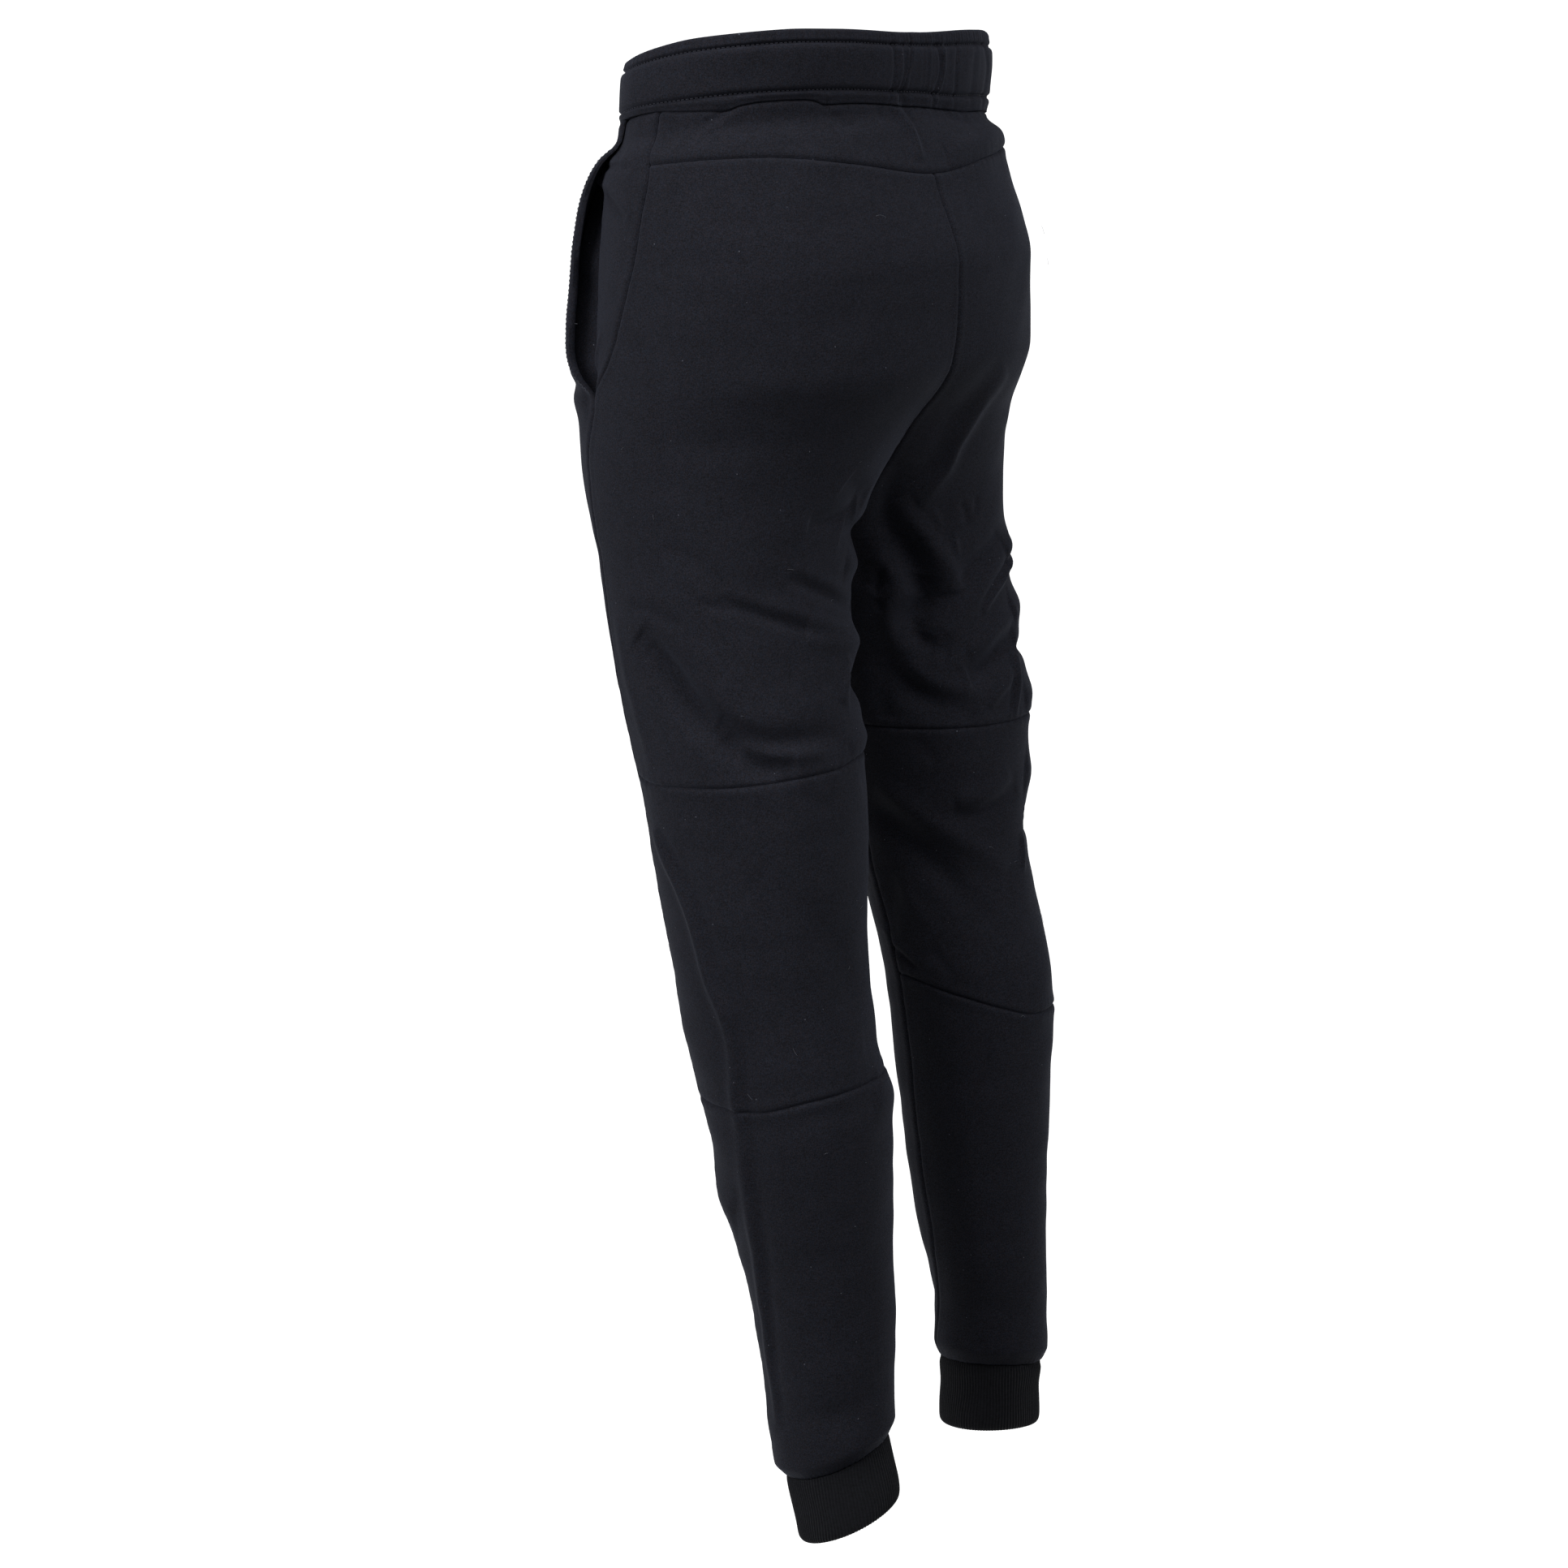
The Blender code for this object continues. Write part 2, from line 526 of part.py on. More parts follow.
def make_waistband():
    """Folded elastic waistband with a rounded top, gathered in soft upright troughs."""
    angles = waist_angles()
    radius = float(np.mean(section(0.0)[2:4]))
    # share of the way up, how far out, for the outside and then the inside
    profile = [(0.0, 0.0), (0.14, 0.5), (0.50, 1.0), (0.86, 0.5), (0.97, 0.0), (1.0, -1.6),
               (0.97, -3.0), (0.5, -3.0), (0.0, -3.0)]
    rings = []
    for share, out in profile:
        ring = []
        for side, order in ((LEFT, angles), (RIGHT, angles[-2:0:-1])):
            bottom = line_height(WAIST_SEAM, order)
            top = line_height(WAIST_TOP_EDGE, order)
            height = bottom + (top - bottom) * share
            point, normal = surface(order, height, side)
            offset = np.full(np.shape(order), BAND_PUFF * out if out > -3.0 else -BAND_WALL)
            if 0.0 < share < 1.0 and out >= 0.0:
                for gather_side, at, width, depth in GATHERS:
                    if gather_side == side:
                        away = (order - math.radians(at)) * radius
                        offset = offset - depth * np.exp(-(away / width)**2)
            level = normal.copy()
            level[:, 2] = 0.0
            level[np.abs(point[:, 0]) < 1e-9, 0] = 0.0
            level = level / np.linalg.norm(level, axis=-1, keepdims=True)
            point = point + level * offset[:, None]
            if share == 0.0:
                point[:, 2] += SEAM_GAP / 2
            ring.append(point)
        rings.append(np.concatenate(ring))
    wall_from_rings("waistband", rings, FLEECE)


def make_cuff(side):
    """Ribbed cuff, folded round at the bottom, its ribs raised over a plain inside."""
    count = CUFF_RIBS * 2
    angles = np.linspace(0, 2 * math.pi, count, endpoint=False)
    ribs = RIB_HEIGHT * (np.arange(count) % 2)
    top = HEM_HEIGHT[side] - SEAM_GAP / 2
    bottom = CUFF_BOTTOM[side]
    # share of the way down, how far out in walls, and how much of the ribs shows
    profile = [(0.0, 0.0, 1.0), (0.40, 0.15, 1.0), (0.90, 0.10, 1.0), (1.0, -0.5, 0.0), (0.90, -1.0, 0.0),
               (0.0, -1.0, 0.0)]
    rings = []
    for share, out, rib_share in profile:
        height = np.full(count, top + (bottom - top) * share)
        point, normal = surface(angles, height, side)
        normal[:, 2] = 0.0
        normal = normal / np.linalg.norm(normal, axis=-1, keepdims=True)
        offset = CUFF_WALL * out + ribs * rib_share
        rings.append(point + normal * offset[:, None])
    wall_from_rings(f"cuff_{SIDE_NAMES[side]}", rings, RIB)


make_waistband()
make_yoke()
for body_side in (LEFT, RIGHT):
    make_back(body_side)
    make_side_panel(body_side)
    make_front(body_side)
    make_cuff(body_side)
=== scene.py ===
"""Jogger sweatpants in dark brushed fleece, filled out as worn.

The front faces -Y and the wearer's left is +X. Every cut piece is a shell of cloth on one common
form, which is read at an angle round the leg (0 is the outer side, 90 the back, -90 the front)
and at a height, so that neighbours share their seams. Sizes are metres.
"""
import math

import bpy
import numpy as np
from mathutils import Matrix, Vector


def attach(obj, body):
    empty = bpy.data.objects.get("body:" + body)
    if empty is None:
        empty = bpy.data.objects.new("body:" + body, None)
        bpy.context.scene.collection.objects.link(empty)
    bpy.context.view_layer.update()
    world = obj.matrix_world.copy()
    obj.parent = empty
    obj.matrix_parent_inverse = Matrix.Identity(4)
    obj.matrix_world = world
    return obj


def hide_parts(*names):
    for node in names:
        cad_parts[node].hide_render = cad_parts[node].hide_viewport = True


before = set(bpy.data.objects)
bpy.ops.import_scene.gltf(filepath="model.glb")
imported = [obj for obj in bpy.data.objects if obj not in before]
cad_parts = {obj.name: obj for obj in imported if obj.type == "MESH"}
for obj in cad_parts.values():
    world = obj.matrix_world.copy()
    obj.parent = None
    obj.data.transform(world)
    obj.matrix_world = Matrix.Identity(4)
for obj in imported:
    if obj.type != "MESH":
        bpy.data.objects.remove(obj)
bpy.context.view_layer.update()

# Backs of the legs
# Three pieces of brushed fleece down each leg, cut across above and below the knee and
# overlocked together, so their edges roll into narrow seams. They wrap far round to the front.
LEFT = 1
RIGHT = -1
SIDE_NAMES = {LEFT: "left", RIGHT: "right"}
WALL = 0.0022             # fleece
SEAM_GAP = 0.0003         # between neighbouring pieces
CROTCH = -0.315           # height where the centre seam turns into the two inseams
POCKET_BOTTOM = -0.204    # lower end of the pocket mouth
HEM_HEIGHT = {LEFT: -0.935, RIGHT: -0.923}

# Horizontal sections of one half. out and inn are its reach to the side and towards the middle
# (below zero it is cut off by the centre seam), back and front its reach in Y, square how boxy
# it is (2 is an ellipse).
#            height   out    inn     back    front   square
SECTIONS = [(0.050, 0.155, -0.155, 0.087, -0.088, 2.30),
            (0.025, 0.156, -0.156, 0.087, -0.090, 2.30),
            (-0.027, 0.159, -0.159, 0.085, -0.095, 2.30),
            (-0.043, 0.168, -0.168, 0.093, -0.107, 2.30),
            (-0.070, 0.173, -0.172, 0.105, -0.112, 2.25),
            (-0.125, 0.178, -0.165, 0.125, -0.124, 2.20),
            (-0.180, 0.180, -0.122, 0.122, -0.126, 2.10),
            (-0.230, 0.180, -0.062, 0.096, -0.118, 2.00),
            (-0.280, 0.179, -0.018, 0.082, -0.101, 2.05),
            (-0.315, 0.177, 0.001, 0.080, -0.088, 2.10),
            (-0.370, 0.177, 0.014, 0.086, -0.074, 2.10),
            (-0.420, 0.177, 0.022, 0.096, -0.059, 2.10),
            (-0.485, 0.174, 0.030, 0.104, -0.040, 2.10),
            (-0.590, 0.170, 0.041, 0.110, -0.017, 2.00),
            (-0.710, 0.160, 0.042, 0.129, 0.012, 2.00),
            (-0.810, 0.145, 0.046, 0.133, 0.035, 2.00),
            (-0.900, 0.135, 0.055, 0.135, 0.053, 2.00),
            (-1.000, 0.134, 0.056, 0.135, 0.055, 2.00)]

# How each half differs from the sections: moved back, its rings sloped (lean_out is the rise
# per metre outwards, lean_back per metre backwards), and its rings scaled (fullness).
#               height  back   lean_out lean_back fullness
POSE = {LEFT: [(0.050, 0.000, 0.000, 0.140, 1.000),
               (-0.030, 0.000, 0.000, 0.140, 1.000),
               (-0.100, 0.000, 0.000, 0.045, 1.000),
               (-0.200, 0.000, 0.000, 0.000, 1.000),
               (-0.315, 0.000, 0.000, 0.000, 1.000),
               (-0.485, 0.000, 0.000, 0.000, 1.030),
               (-0.710, 0.000, 0.000, 0.050, 1.060),
               (-0.810, -0.001, 0.000, 0.060, 1.040),
               (-0.890, -0.002, -0.120, 0.200, 1.080),
               (-0.924, 0.001, -0.240, 0.330, 1.060),
               (-0.936, 0.003, -0.270, 0.350, 0.890),
               (-0.982, 0.012, -0.270, 0.350, 0.880)],
        RIGHT: [(0.050, 0.000, -0.050, 0.140, 1.000),
                (-0.030, 0.000, -0.050, 0.140, 1.000),
                (-0.100, 0.000, 0.000, 0.045, 1.000),
                (-0.200, 0.000, 0.000, 0.000, 1.000),
                (-0.420, 0.000, 0.000, 0.000, 1.000),
                (-0.540, -0.004, 0.000, 0.020, 0.930),
                (-0.630, 0.009, 0.000, 0.030, 0.975),
                (-0.710, 0.002, 0.000, 0.030, 0.955),
                (-0.810, 0.000, 0.000, 0.030, 0.965),
                (-0.890, 0.000, -0.150, 0.060, 1.000),
                (-0.911, 0.000, -0.180, 0.070, 1.030),
                (-0.924, 0.000, -0.180, 0.080, 0.900),
                (-0.975, -0.002, -0.100, 0.110, 0.910)]}

# Seams that run down, as the angle at each height.
#            height   angle
SIDE_SEAM = [(0.030, 2.0),
             (-0.025, 0.0),
             (-0.050, 1.0),
             (-0.077, -1.0),
             (-0.113, -4.0),
             (-0.150, -7.5),
             (-0.177, -12.0),
             (-0.204, -19.5)]
OUTSEAM = [(-0.204, -19.5),
           (-0.250, -26.0),
           (-0.350, -36.0),
           (-0.485, -45.0),
           (-0.700, -50.0),
           (-0.850, -52.0),
           (-1.000, -52.0)]
INSEAM = [(-0.315, 180.0),
          (-0.400, 188.0),
          (-0.590, 197.0),
          (-0.810, 198.0),
          (-0.880, 211.0),
          (-0.920, 222.0),
          (-1.000, 224.0)]

# Seams that run round, as the height at each angle.
#             angle   height
YOKE_SEAM = [(-90.0, -0.049), (5.0, -0.048), (25.0, -0.050), (50.0, -0.058), (90.0, -0.067)]
ABOVE_KNEE = {LEFT: [(-165.0, -0.450), (-60.0, -0.457), (-27.0, -0.4585), (3.0, -0.4555), (28.0, -0.4530),
                     (48.0, -0.4505), (71.0, -0.4475), (90.0, -0.4460), (111.0, -0.4430), (135.0, -0.4440),
                     (190.0, -0.450)],
              RIGHT: [(-165.0, -0.446), (-60.0, -0.450), (190.0, -0.446)]}
BELOW_KNEE = {LEFT: [(-163.0, -0.664), (-50.0, -0.676), (10.0, -0.676), (50.0, -0.668), (100.0, -0.663),
                     (197.0, -0.664)],
              RIGHT: [(-163.0, -0.628), (-50.0, -0.668), (60.0, -0.6600), (95.0, -0.6580),
                      (125.0, -0.6490), (150.0, -0.6400), (197.0, -0.628)]}

# Folds of the cloth, as lines through points of angle and height. rise is above zero for a ridge
# and below it for a trough, width is half its width, and beside is the share of the rise that the
# cloth falls back by along one side (above zero on the line's left as it runs, below on its right).
#         side, points, width, rise, beside
FOLDS = [
    # left leg: the long fold that runs down from the outer side and turns level behind the knee
    (LEFT, ((-9, -0.356), (-3, -0.364), (4, -0.375), (10, -0.388), (18, -0.403), (27, -0.417), (36, -0.430),
            (48, -0.439), (64, -0.441)), 0.0122, -0.0094, 0.0),
    (LEFT, ((-4, -0.362), (3, -0.374), (11, -0.388), (19, -0.403), (28, -0.418), (37, -0.430)), 0.0090, -0.0023, 0.0),
    (LEFT, ((29, -0.419), (36, -0.429), (44, -0.437), (54, -0.443)), 0.0070, -0.0026, 0.0),
    (LEFT, ((27, -0.408), (34, -0.415), (44, -0.420), (57, -0.423), (73, -0.423), (97, -0.426)), 0.008, -0.0046, 0.0),
    (LEFT, ((-25, -0.346), (-25, -0.375), (-24, -0.400), (-22, -0.430), (-21, -0.452)), 0.0060, 0.0010, 0.0),
    (LEFT, ((36, -0.424), (47, -0.430), (60, -0.432), (82, -0.433)), 0.005, 0.0026, 0.0),
    (LEFT, ((-11, -0.337), (1, -0.340), (10, -0.344), (18, -0.348)), 0.005, -0.0020, 0.0),
    # left leg: two sharper folds from the inner side, and what lies between them
    (LEFT, ((67, -0.317), (78, -0.324), (92, -0.332), (107, -0.341), (128, -0.349)), 0.0045, -0.0030, 0.4),
    (LEFT, ((34, -0.328), (40, -0.333), (49, -0.338), (63, -0.345), (79, -0.353), (97, -0.360), (122, -0.369)),
     0.0048, -0.0028, 0.4),
    (LEFT, ((78, -0.352), (95, -0.360), (112, -0.366), (126, -0.370), (145, -0.373)), 0.009, 0.0056, 0.0),
    (LEFT, ((26, -0.330), (33, -0.335), (41, -0.339)), 0.004, -0.0016, 0.0),
    (LEFT, ((111, -0.379), (103, -0.392), (98, -0.405)), 0.007, 0.0032, 0.0),
    (LEFT, ((9, -0.299), (19, -0.299), (29, -0.311), (38, -0.322)), 0.008, -0.0018, 0.0),
    (LEFT, ((74, -0.284), (86, -0.283), (97, -0.281), (107, -0.277)), 0.007, -0.0050, 0.0),
    (LEFT, ((88, -0.257), (99, -0.264), (114, -0.273)), 0.008, -0.0030, 0.0),
    # left leg: hollows and bumps of its inner side
    (LEFT, ((100, -0.292), (112, -0.296), (135, -0.300), (160, -0.300)), 0.009, -0.0055, 0.0),
    (LEFT, ((110, -0.316), (125, -0.320), (150, -0.322)), 0.008, 0.0038, 0.0),
    (LEFT, ((105, -0.395), (120, -0.397), (140, -0.400), (170, -0.405)), 0.011, -0.0060, 0.0),
    (LEFT, ((100, -0.434), (118, -0.433), (145, -0.434)), 0.007, 0.0030, 0.0),
    # left knee and calf: a crease down the outer side to the cuff, and soft dents
    (LEFT, ((-31, -0.490), (-27, -0.498), (-19, -0.513), (-12, -0.527), (-6, -0.543), (-1, -0.566), (3, -0.588),
            (8, -0.609), (9, -0.627), (6, -0.649), (2, -0.669), (1, -0.690)), 0.0050, 0.0046, 0.45),
    (LEFT, ((5, -0.655), (1, -0.691), (-5, -0.732), (-8, -0.760), (-14, -0.800), (-19, -0.835), (-23, -0.864),
            (-24, -0.900)), 0.0050, 0.0030, 0.4),
    (LEFT, ((35, -0.509), (52, -0.529), (66, -0.548), (78, -0.565), (88, -0.591), (90, -0.609)), 0.013, -0.0022, 0.0),
    (LEFT, ((21, -0.509), (34, -0.528), (43, -0.548), (50, -0.565)), 0.009, -0.0007, 0.0),
    (LEFT, ((57, -0.458), (72, -0.465), (85, -0.471)), 0.007, -0.0010, 0.0),
    (LEFT, ((82, -0.485), (98, -0.469), (112, -0.462)), 0.008, 0.0010, 0.0),
    (LEFT, ((96, -0.672), (130, -0.680), (172, -0.676)), 0.014, 0.0045, 0.0),
    (LEFT, ((96, -0.640), (128, -0.646), (165, -0.640)), 0.010, -0.0016, 0.0),
    (LEFT, ((42, -0.678), (62, -0.679), (84, -0.677)), 0.006, -0.0007, 0.0),
    (LEFT, ((-80, -0.735), (-52, -0.745), (-25, -0.757)), 0.020, 0.0038, 0.0),
    # left hip, below the pocket
    (LEFT, ((-24, -0.203), (-42, -0.208), (-66, -0.200)), 0.012, 0.0040, 0.0),
    # right leg: ridge from the seat, which curls round the deep hollow under it
    (RIGHT, ((74, -0.193), (86, -0.215), (100, -0.242), (107, -0.260), (119, -0.278), (124, -0.284)),
     0.008, 0.0036, -0.3),
    (RIGHT, ((84, -0.212), (100, -0.243), (107, -0.261), (118, -0.278)), 0.003, 0.0010, 0.0),
    (RIGHT, ((134, -0.284), (129, -0.299), (123, -0.313), (117, -0.326), (113, -0.338), (112, -0.352)),
     0.010, 0.0054, 0.0),
    (RIGHT, ((118, -0.290), (115, -0.298), (114, -0.306)), 0.003, 0.0012, 0.0),
    (RIGHT, ((109, -0.310), (107, -0.317), (107, -0.326)), 0.003, 0.0016, 0.0),
    (RIGHT, ((101, -0.288), (98, -0.296), (97, -0.306)), 0.0030, -0.0013, 0.0),
    (RIGHT, ((90, -0.284), (91, -0.299)), 0.0030, -0.0010, 0.0),
    (RIGHT, ((130, -0.252), (134, -0.268), (137, -0.283), (138, -0.297), (135, -0.309), (132, -0.320), (130, -0.332),
             (128, -0.344), (125, -0.353), (131, -0.361), (137, -0.370), (135, -0.380), (128, -0.388)),
     0.0115, -0.0080, 0.0),
    (RIGHT, ((128, -0.338), (129, -0.350), (131, -0.362), (134, -0.376)), 0.0090, -0.0040, 0.0),
    (RIGHT, ((124, -0.352), (133, -0.360), (137, -0.369), (136, -0.379), (130, -0.387), (121, -0.391)),
     0.0075, -0.0040, 0.0),
    (RIGHT, ((148, -0.322), (144, -0.330), (141, -0.342), (144, -0.353), (148, -0.367), (148, -0.380),
             (145, -0.393)), 0.007, 0.0036, 0.0),
    (RIGHT, ((147, -0.330), (149, -0.340), (153, -0.349)), 0.0035, -0.0030, 0.0),
    (RIGHT, ((151, -0.353), (151, -0.363)), 0.003, -0.0018, 0.0),
    (RIGHT, ((153, -0.312), (157, -0.325), (157, -0.338), (156, -0.346)), 0.008, -0.0020, 0.0),
    (RIGHT, ((160, -0.400), (161, -0.414), (163, -0.428), (163, -0.440)), 0.009, -0.0024, 0.0),
    # right leg: folds that fan out from that hollow over the back of the thigh
    (RIGHT, ((108, -0.346), (99, -0.336), (86, -0.326), (70, -0.317)), 0.006, -0.0026, 0.0),
    (RIGHT, ((122, -0.380), (112, -0.369), (99, -0.355), (85, -0.343), (66, -0.333), (52, -0.325)),
     0.008, 0.0034, 0.0),
    (RIGHT, ((46, -0.338), (58, -0.341), (72, -0.348), (85, -0.356), (97, -0.368)), 0.0032, 0.0036, -0.4),
    (RIGHT, ((112, -0.394), (98, -0.388), (86, -0.381), (62, -0.376)), 0.006, 0.0030, 0.0),
    (RIGHT, ((114, -0.412), (106, -0.409), (97, -0.404), (84, -0.396), (68, -0.390)), 0.009, -0.0072, 0.0),
    (RIGHT, ((160, -0.390), (153, -0.405), (146, -0.418), (134, -0.427), (112, -0.436)), 0.011, -0.0050, 0.0),
    (RIGHT, ((146, -0.398), (137, -0.410), (127, -0.417), (114, -0.421)), 0.007, 0.0026, 0.0),
    (RIGHT, ((104, -0.434), (96, -0.425), (86, -0.418), (79, -0.412)), 0.0042, 0.0028, 0.0),
    (RIGHT, ((72, -0.402), (76, -0.415), (78, -0.427), (83, -0.444)), 0.0038, 0.0032, -0.4),
    # right leg: lobes and notches of its outline
    (RIGHT, ((30, -0.322), (52, -0.328), (66, -0.333)), 0.013, 0.0034, 0.0),
    (RIGHT, ((34, -0.370), (52, -0.371), (68, -0.373)), 0.012, 0.0048, 0.0),
    (RIGHT, ((36, -0.401), (54, -0.401), (68, -0.400)), 0.0060, -0.0040, 0.0),
    (RIGHT, ((40, -0.432), (56, -0.434), (68, -0.436)), 0.010, 0.0030, 0.0),
    # right knee: a deep slanting trough under a lobe, and smaller folds round it
    (RIGHT, ((177, -0.487), (163, -0.502), (149, -0.513), (135, -0.524), (116, -0.539), (95, -0.557)),
     0.009, 0.0030, 0.0),
    (RIGHT, ((187, -0.499), (175, -0.514), (161, -0.532), (149, -0.545), (137, -0.562), (130, -0.576)),
     0.012, -0.0042, 0.0),
    (RIGHT, ((134, -0.509), (119, -0.511), (100, -0.505), (79, -0.499)), 0.006, -0.0024, 0.0),
    (RIGHT, ((130, -0.500), (120, -0.500), (105, -0.495), (88, -0.484)), 0.008, 0.0026, 0.0),
    (RIGHT, ((150, -0.452), (144, -0.463), (139, -0.472)), 0.006, -0.0012, 0.0),
    (RIGHT, ((179, -0.547), (181, -0.564), (190, -0.583), (198, -0.601)), 0.009, -0.0020, 0.0),
    (RIGHT, ((173, -0.553), (171, -0.573), (159, -0.590)), 0.008, 0.0018, 0.0),
    (RIGHT, ((130, -0.573), (121, -0.591), (114, -0.605)), 0.010, -0.0012, 0.0),
    (RIGHT, ((198, -0.609), (187, -0.616), (178, -0.623)), 0.0030, -0.0018, 0.4),
    (RIGHT, ((163, -0.606), (159, -0.617), (152, -0.627)), 0.0045, -0.0010, 0.0),
    (RIGHT, ((36, -0.492), (52, -0.492), (66, -0.490)), 0.015, 0.0036, 0.0),
    (RIGHT, ((38, -0.528), (54, -0.528), (66, -0.525)), 0.008, -0.0046, 0.0),
    (RIGHT, ((72, -0.534), (73, -0.549), (77, -0.560)), 0.0035, 0.0022, 0.0),
    # right calf: a blunt edge down its back
    (RIGHT, ((158, -0.650), (157, -0.683), (153, -0.735), (152, -0.788), (151, -0.820), (153, -0.863), (154, -0.903)),
     0.012, 0.0016, 0.0),
    (RIGHT, ((159, -0.910), (156, -0.905), (151, -0.900)), 0.003, -0.0006, 0.0),
    # fronts, each in its own way
    (LEFT, ((-150, -0.345), (-115, -0.380), (-75, -0.395)), 0.011, -0.0045, 0.0),
    (RIGHT, ((-145, -0.350), (-105, -0.392), (-70, -0.400)), 0.012, -0.0045, 0.0),
    (LEFT, ((-165, -0.322), (-125, -0.318), (-95, -0.285)), 0.008, -0.0024, 0.3),
    (RIGHT, ((-160, -0.326), (-120, -0.316), (-88, -0.292)), 0.008, -0.0022, 0.3),
    (LEFT, ((-140, -0.560), (-100, -0.585), (-60, -0.560)), 0.013, -0.0040, 0.0),
    (RIGHT, ((-135, -0.540), (-95, -0.570), (-55, -0.565)), 0.013, -0.0040, 0.0),
    (LEFT, ((-120, -0.520), (-92, -0.535), (-70, -0.526)), 0.009, 0.0018, 0.0),
    (RIGHT, ((-125, -0.605), (-95, -0.622), (-66, -0.606)), 0.010, -0.0020, 0.0),
    (LEFT, ((-88, -0.210), (-70, -0.255), (-50, -0.290)), 0.012, -0.0035, 0.0),
    (RIGHT, ((-88, -0.215), (-68, -0.250), (-48, -0.300)), 0.012, -0.0035, 0.0),
    (LEFT, ((-132, -0.372), (-105, -0.405), (-84, -0.432)), 0.006, -0.0020, 0.4),
    (RIGHT, ((-122, -0.345), (-98, -0.362), (-80, -0.359)), 0.005, -0.0018, 0.4),
    (RIGHT, ((-110, -0.498), (-88, -0.512), (-62, -0.506)), 0.008, 0.0020, 0.0),
    (LEFT, ((-112, -0.700), (-96, -0.760), (-92, -0.830)), 0.012, 0.0016, 0.0),
    (RIGHT, ((-84, -0.690), (-92, -0.750), (-90, -0.840)), 0.012, 0.0016, 0.0),
    # outer side of the right leg
    (RIGHT, ((-40, -0.352), (-15, -0.366), (12, -0.385), (38, -0.400)), 0.010, -0.0034, 0.0),
    (RIGHT, ((-30, -0.392), (-2, -0.408), (22, -0.432)), 0.008, -0.0022, 0.0),
    (RIGHT, ((-24, -0.520), (-4, -0.556), (4, -0.604), (2, -0.650)), 0.009, 0.0026, 0.3),
    (RIGHT, ((-26, -0.204), (-44, -0.210), (-66, -0.204)), 0.012, 0.0036, 0.0),
    # inner side of the left leg
    (LEFT, ((150, -0.520), (166, -0.548), (178, -0.590)), 0.010, -0.0020, 0.0),
    # just above the ankles, where the leg is eased onto its cuff
    (LEFT, ((-20, -0.880), (40, -0.893), (100, -0.884)), 0.010, -0.0011, 0.0),
    (RIGHT, ((60, -0.868), (110, -0.880), (160, -0.870)), 0.010, -0.0011, 0.0),
    (LEFT, ((-130, -0.872), (-90, -0.884), (-50, -0.876)), 0.010, -0.0018, 0.0),
    (RIGHT, ((-135, -0.866), (-95, -0.878), (-55, -0.868)), 0.010, -0.0018, 0.0),
    # yoke: puckers under the waistband and the sharp crease beside the centre
    (RIGHT, ((12, -0.038), (46, -0.046), (80, -0.056)), 0.009, 0.0050, 0.0),
    (LEFT, ((74, -0.022), (78, -0.028), (82, -0.037), (84, -0.048), (84, -0.060)), 0.0064, 0.0038, 0.5),
    (LEFT, ((47, -0.026), (50, -0.033), (53, -0.036), (58, -0.032)), 0.0030, -0.0014, 0.0),
    (LEFT, ((44.7, -0.017), (44.5, -0.023), (44.9, -0.030)), 0.0022, -0.0010, 0.0),
    (LEFT, ((12, -0.025), (15, -0.023), (17.5, -0.018)), 0.0032, -0.0015, -0.4),
    (LEFT, ((2, -0.040), (4, -0.035), (6, -0.031)), 0.0050, -0.0007, 0.0),
    (LEFT, ((66, -0.024), (68, -0.031), (70, -0.036)), 0.0030, -0.0010, 0.0),
    (RIGHT, ((70, -0.026), (64, -0.033), (54, -0.037)), 0.0040, -0.0010, 0.0),
    (RIGHT, ((30, -0.024), (24, -0.032), (16, -0.036)), 0.0035, -0.0014, 0.3)]
FOLD_SAMPLES = 3          # between two points of a fold's line
FOLD_FADE = 0.014         # folds fade out this far from the centre seam

# How the cloth lies beside a seam: rolled down into it, plump over its allowance, and puckered.
SEAM_DEPTH = 0.0011
SEAM_ROLL = 0.0012
SEAM_PLUMP = 0.00035
SEAM_PLUMP_AT = 0.0042
SEAM_PLUMP_WIDTH = 0.0026
#                  pucker, reach, pitch, phase
PLAIN_SEAM = (0.00016, 0.0080, 0.0100, 0.3)
KNEE_SEAM = (0.00022, 0.0090, 0.0130, 1.7)
WAIST_JOIN = (0.00028, 0.0100, 0.0120, 2.2)
HEM_JOIN = (0.00055, 0.0100, 0.0090, 0.9)


def read(table, column, at):
    """Read one column of a table smoothly, with no overshoot between its rows."""
    rows = np.array(table, dtype=float)
    if rows[0, 0] > rows[-1, 0]:
        rows = rows[::-1]
    places = rows[:, 0]
    values = rows[:, column]
    steps = np.diff(places)
    slopes = np.diff(values) / steps
    tangents = np.zeros(len(values))
    for i in range(1, len(values) - 1):
        if slopes[i - 1] * slopes[i] > 0:
            before = 2 * steps[i] + steps[i - 1]
            after = steps[i] + 2 * steps[i - 1]
            tangents[i] = (before + after) / (before / slopes[i - 1] + after / slopes[i])
    at = np.clip(np.asarray(at, dtype=float), places[0], places[-1])
    i = np.clip(np.searchsorted(places, at, side="right") - 1, 0, len(steps) - 1)
    t = (at - places[i]) / steps[i]
    start = (2 * t**3 - 3 * t**2 + 1) * values[i] + (t**3 - 2 * t**2 + t) * steps[i] * tangents[i]
    end = (3 * t**2 - 2 * t**3) * values[i + 1] + (t**3 - t**2) * steps[i] * tangents[i + 1]
    return start + end


def ease(t):
    """Rise smoothly from 0 at 0 to 1 at 1."""
    t = np.clip(t, 0.0, 1.0)
    return t * t * (3 - 2 * t)


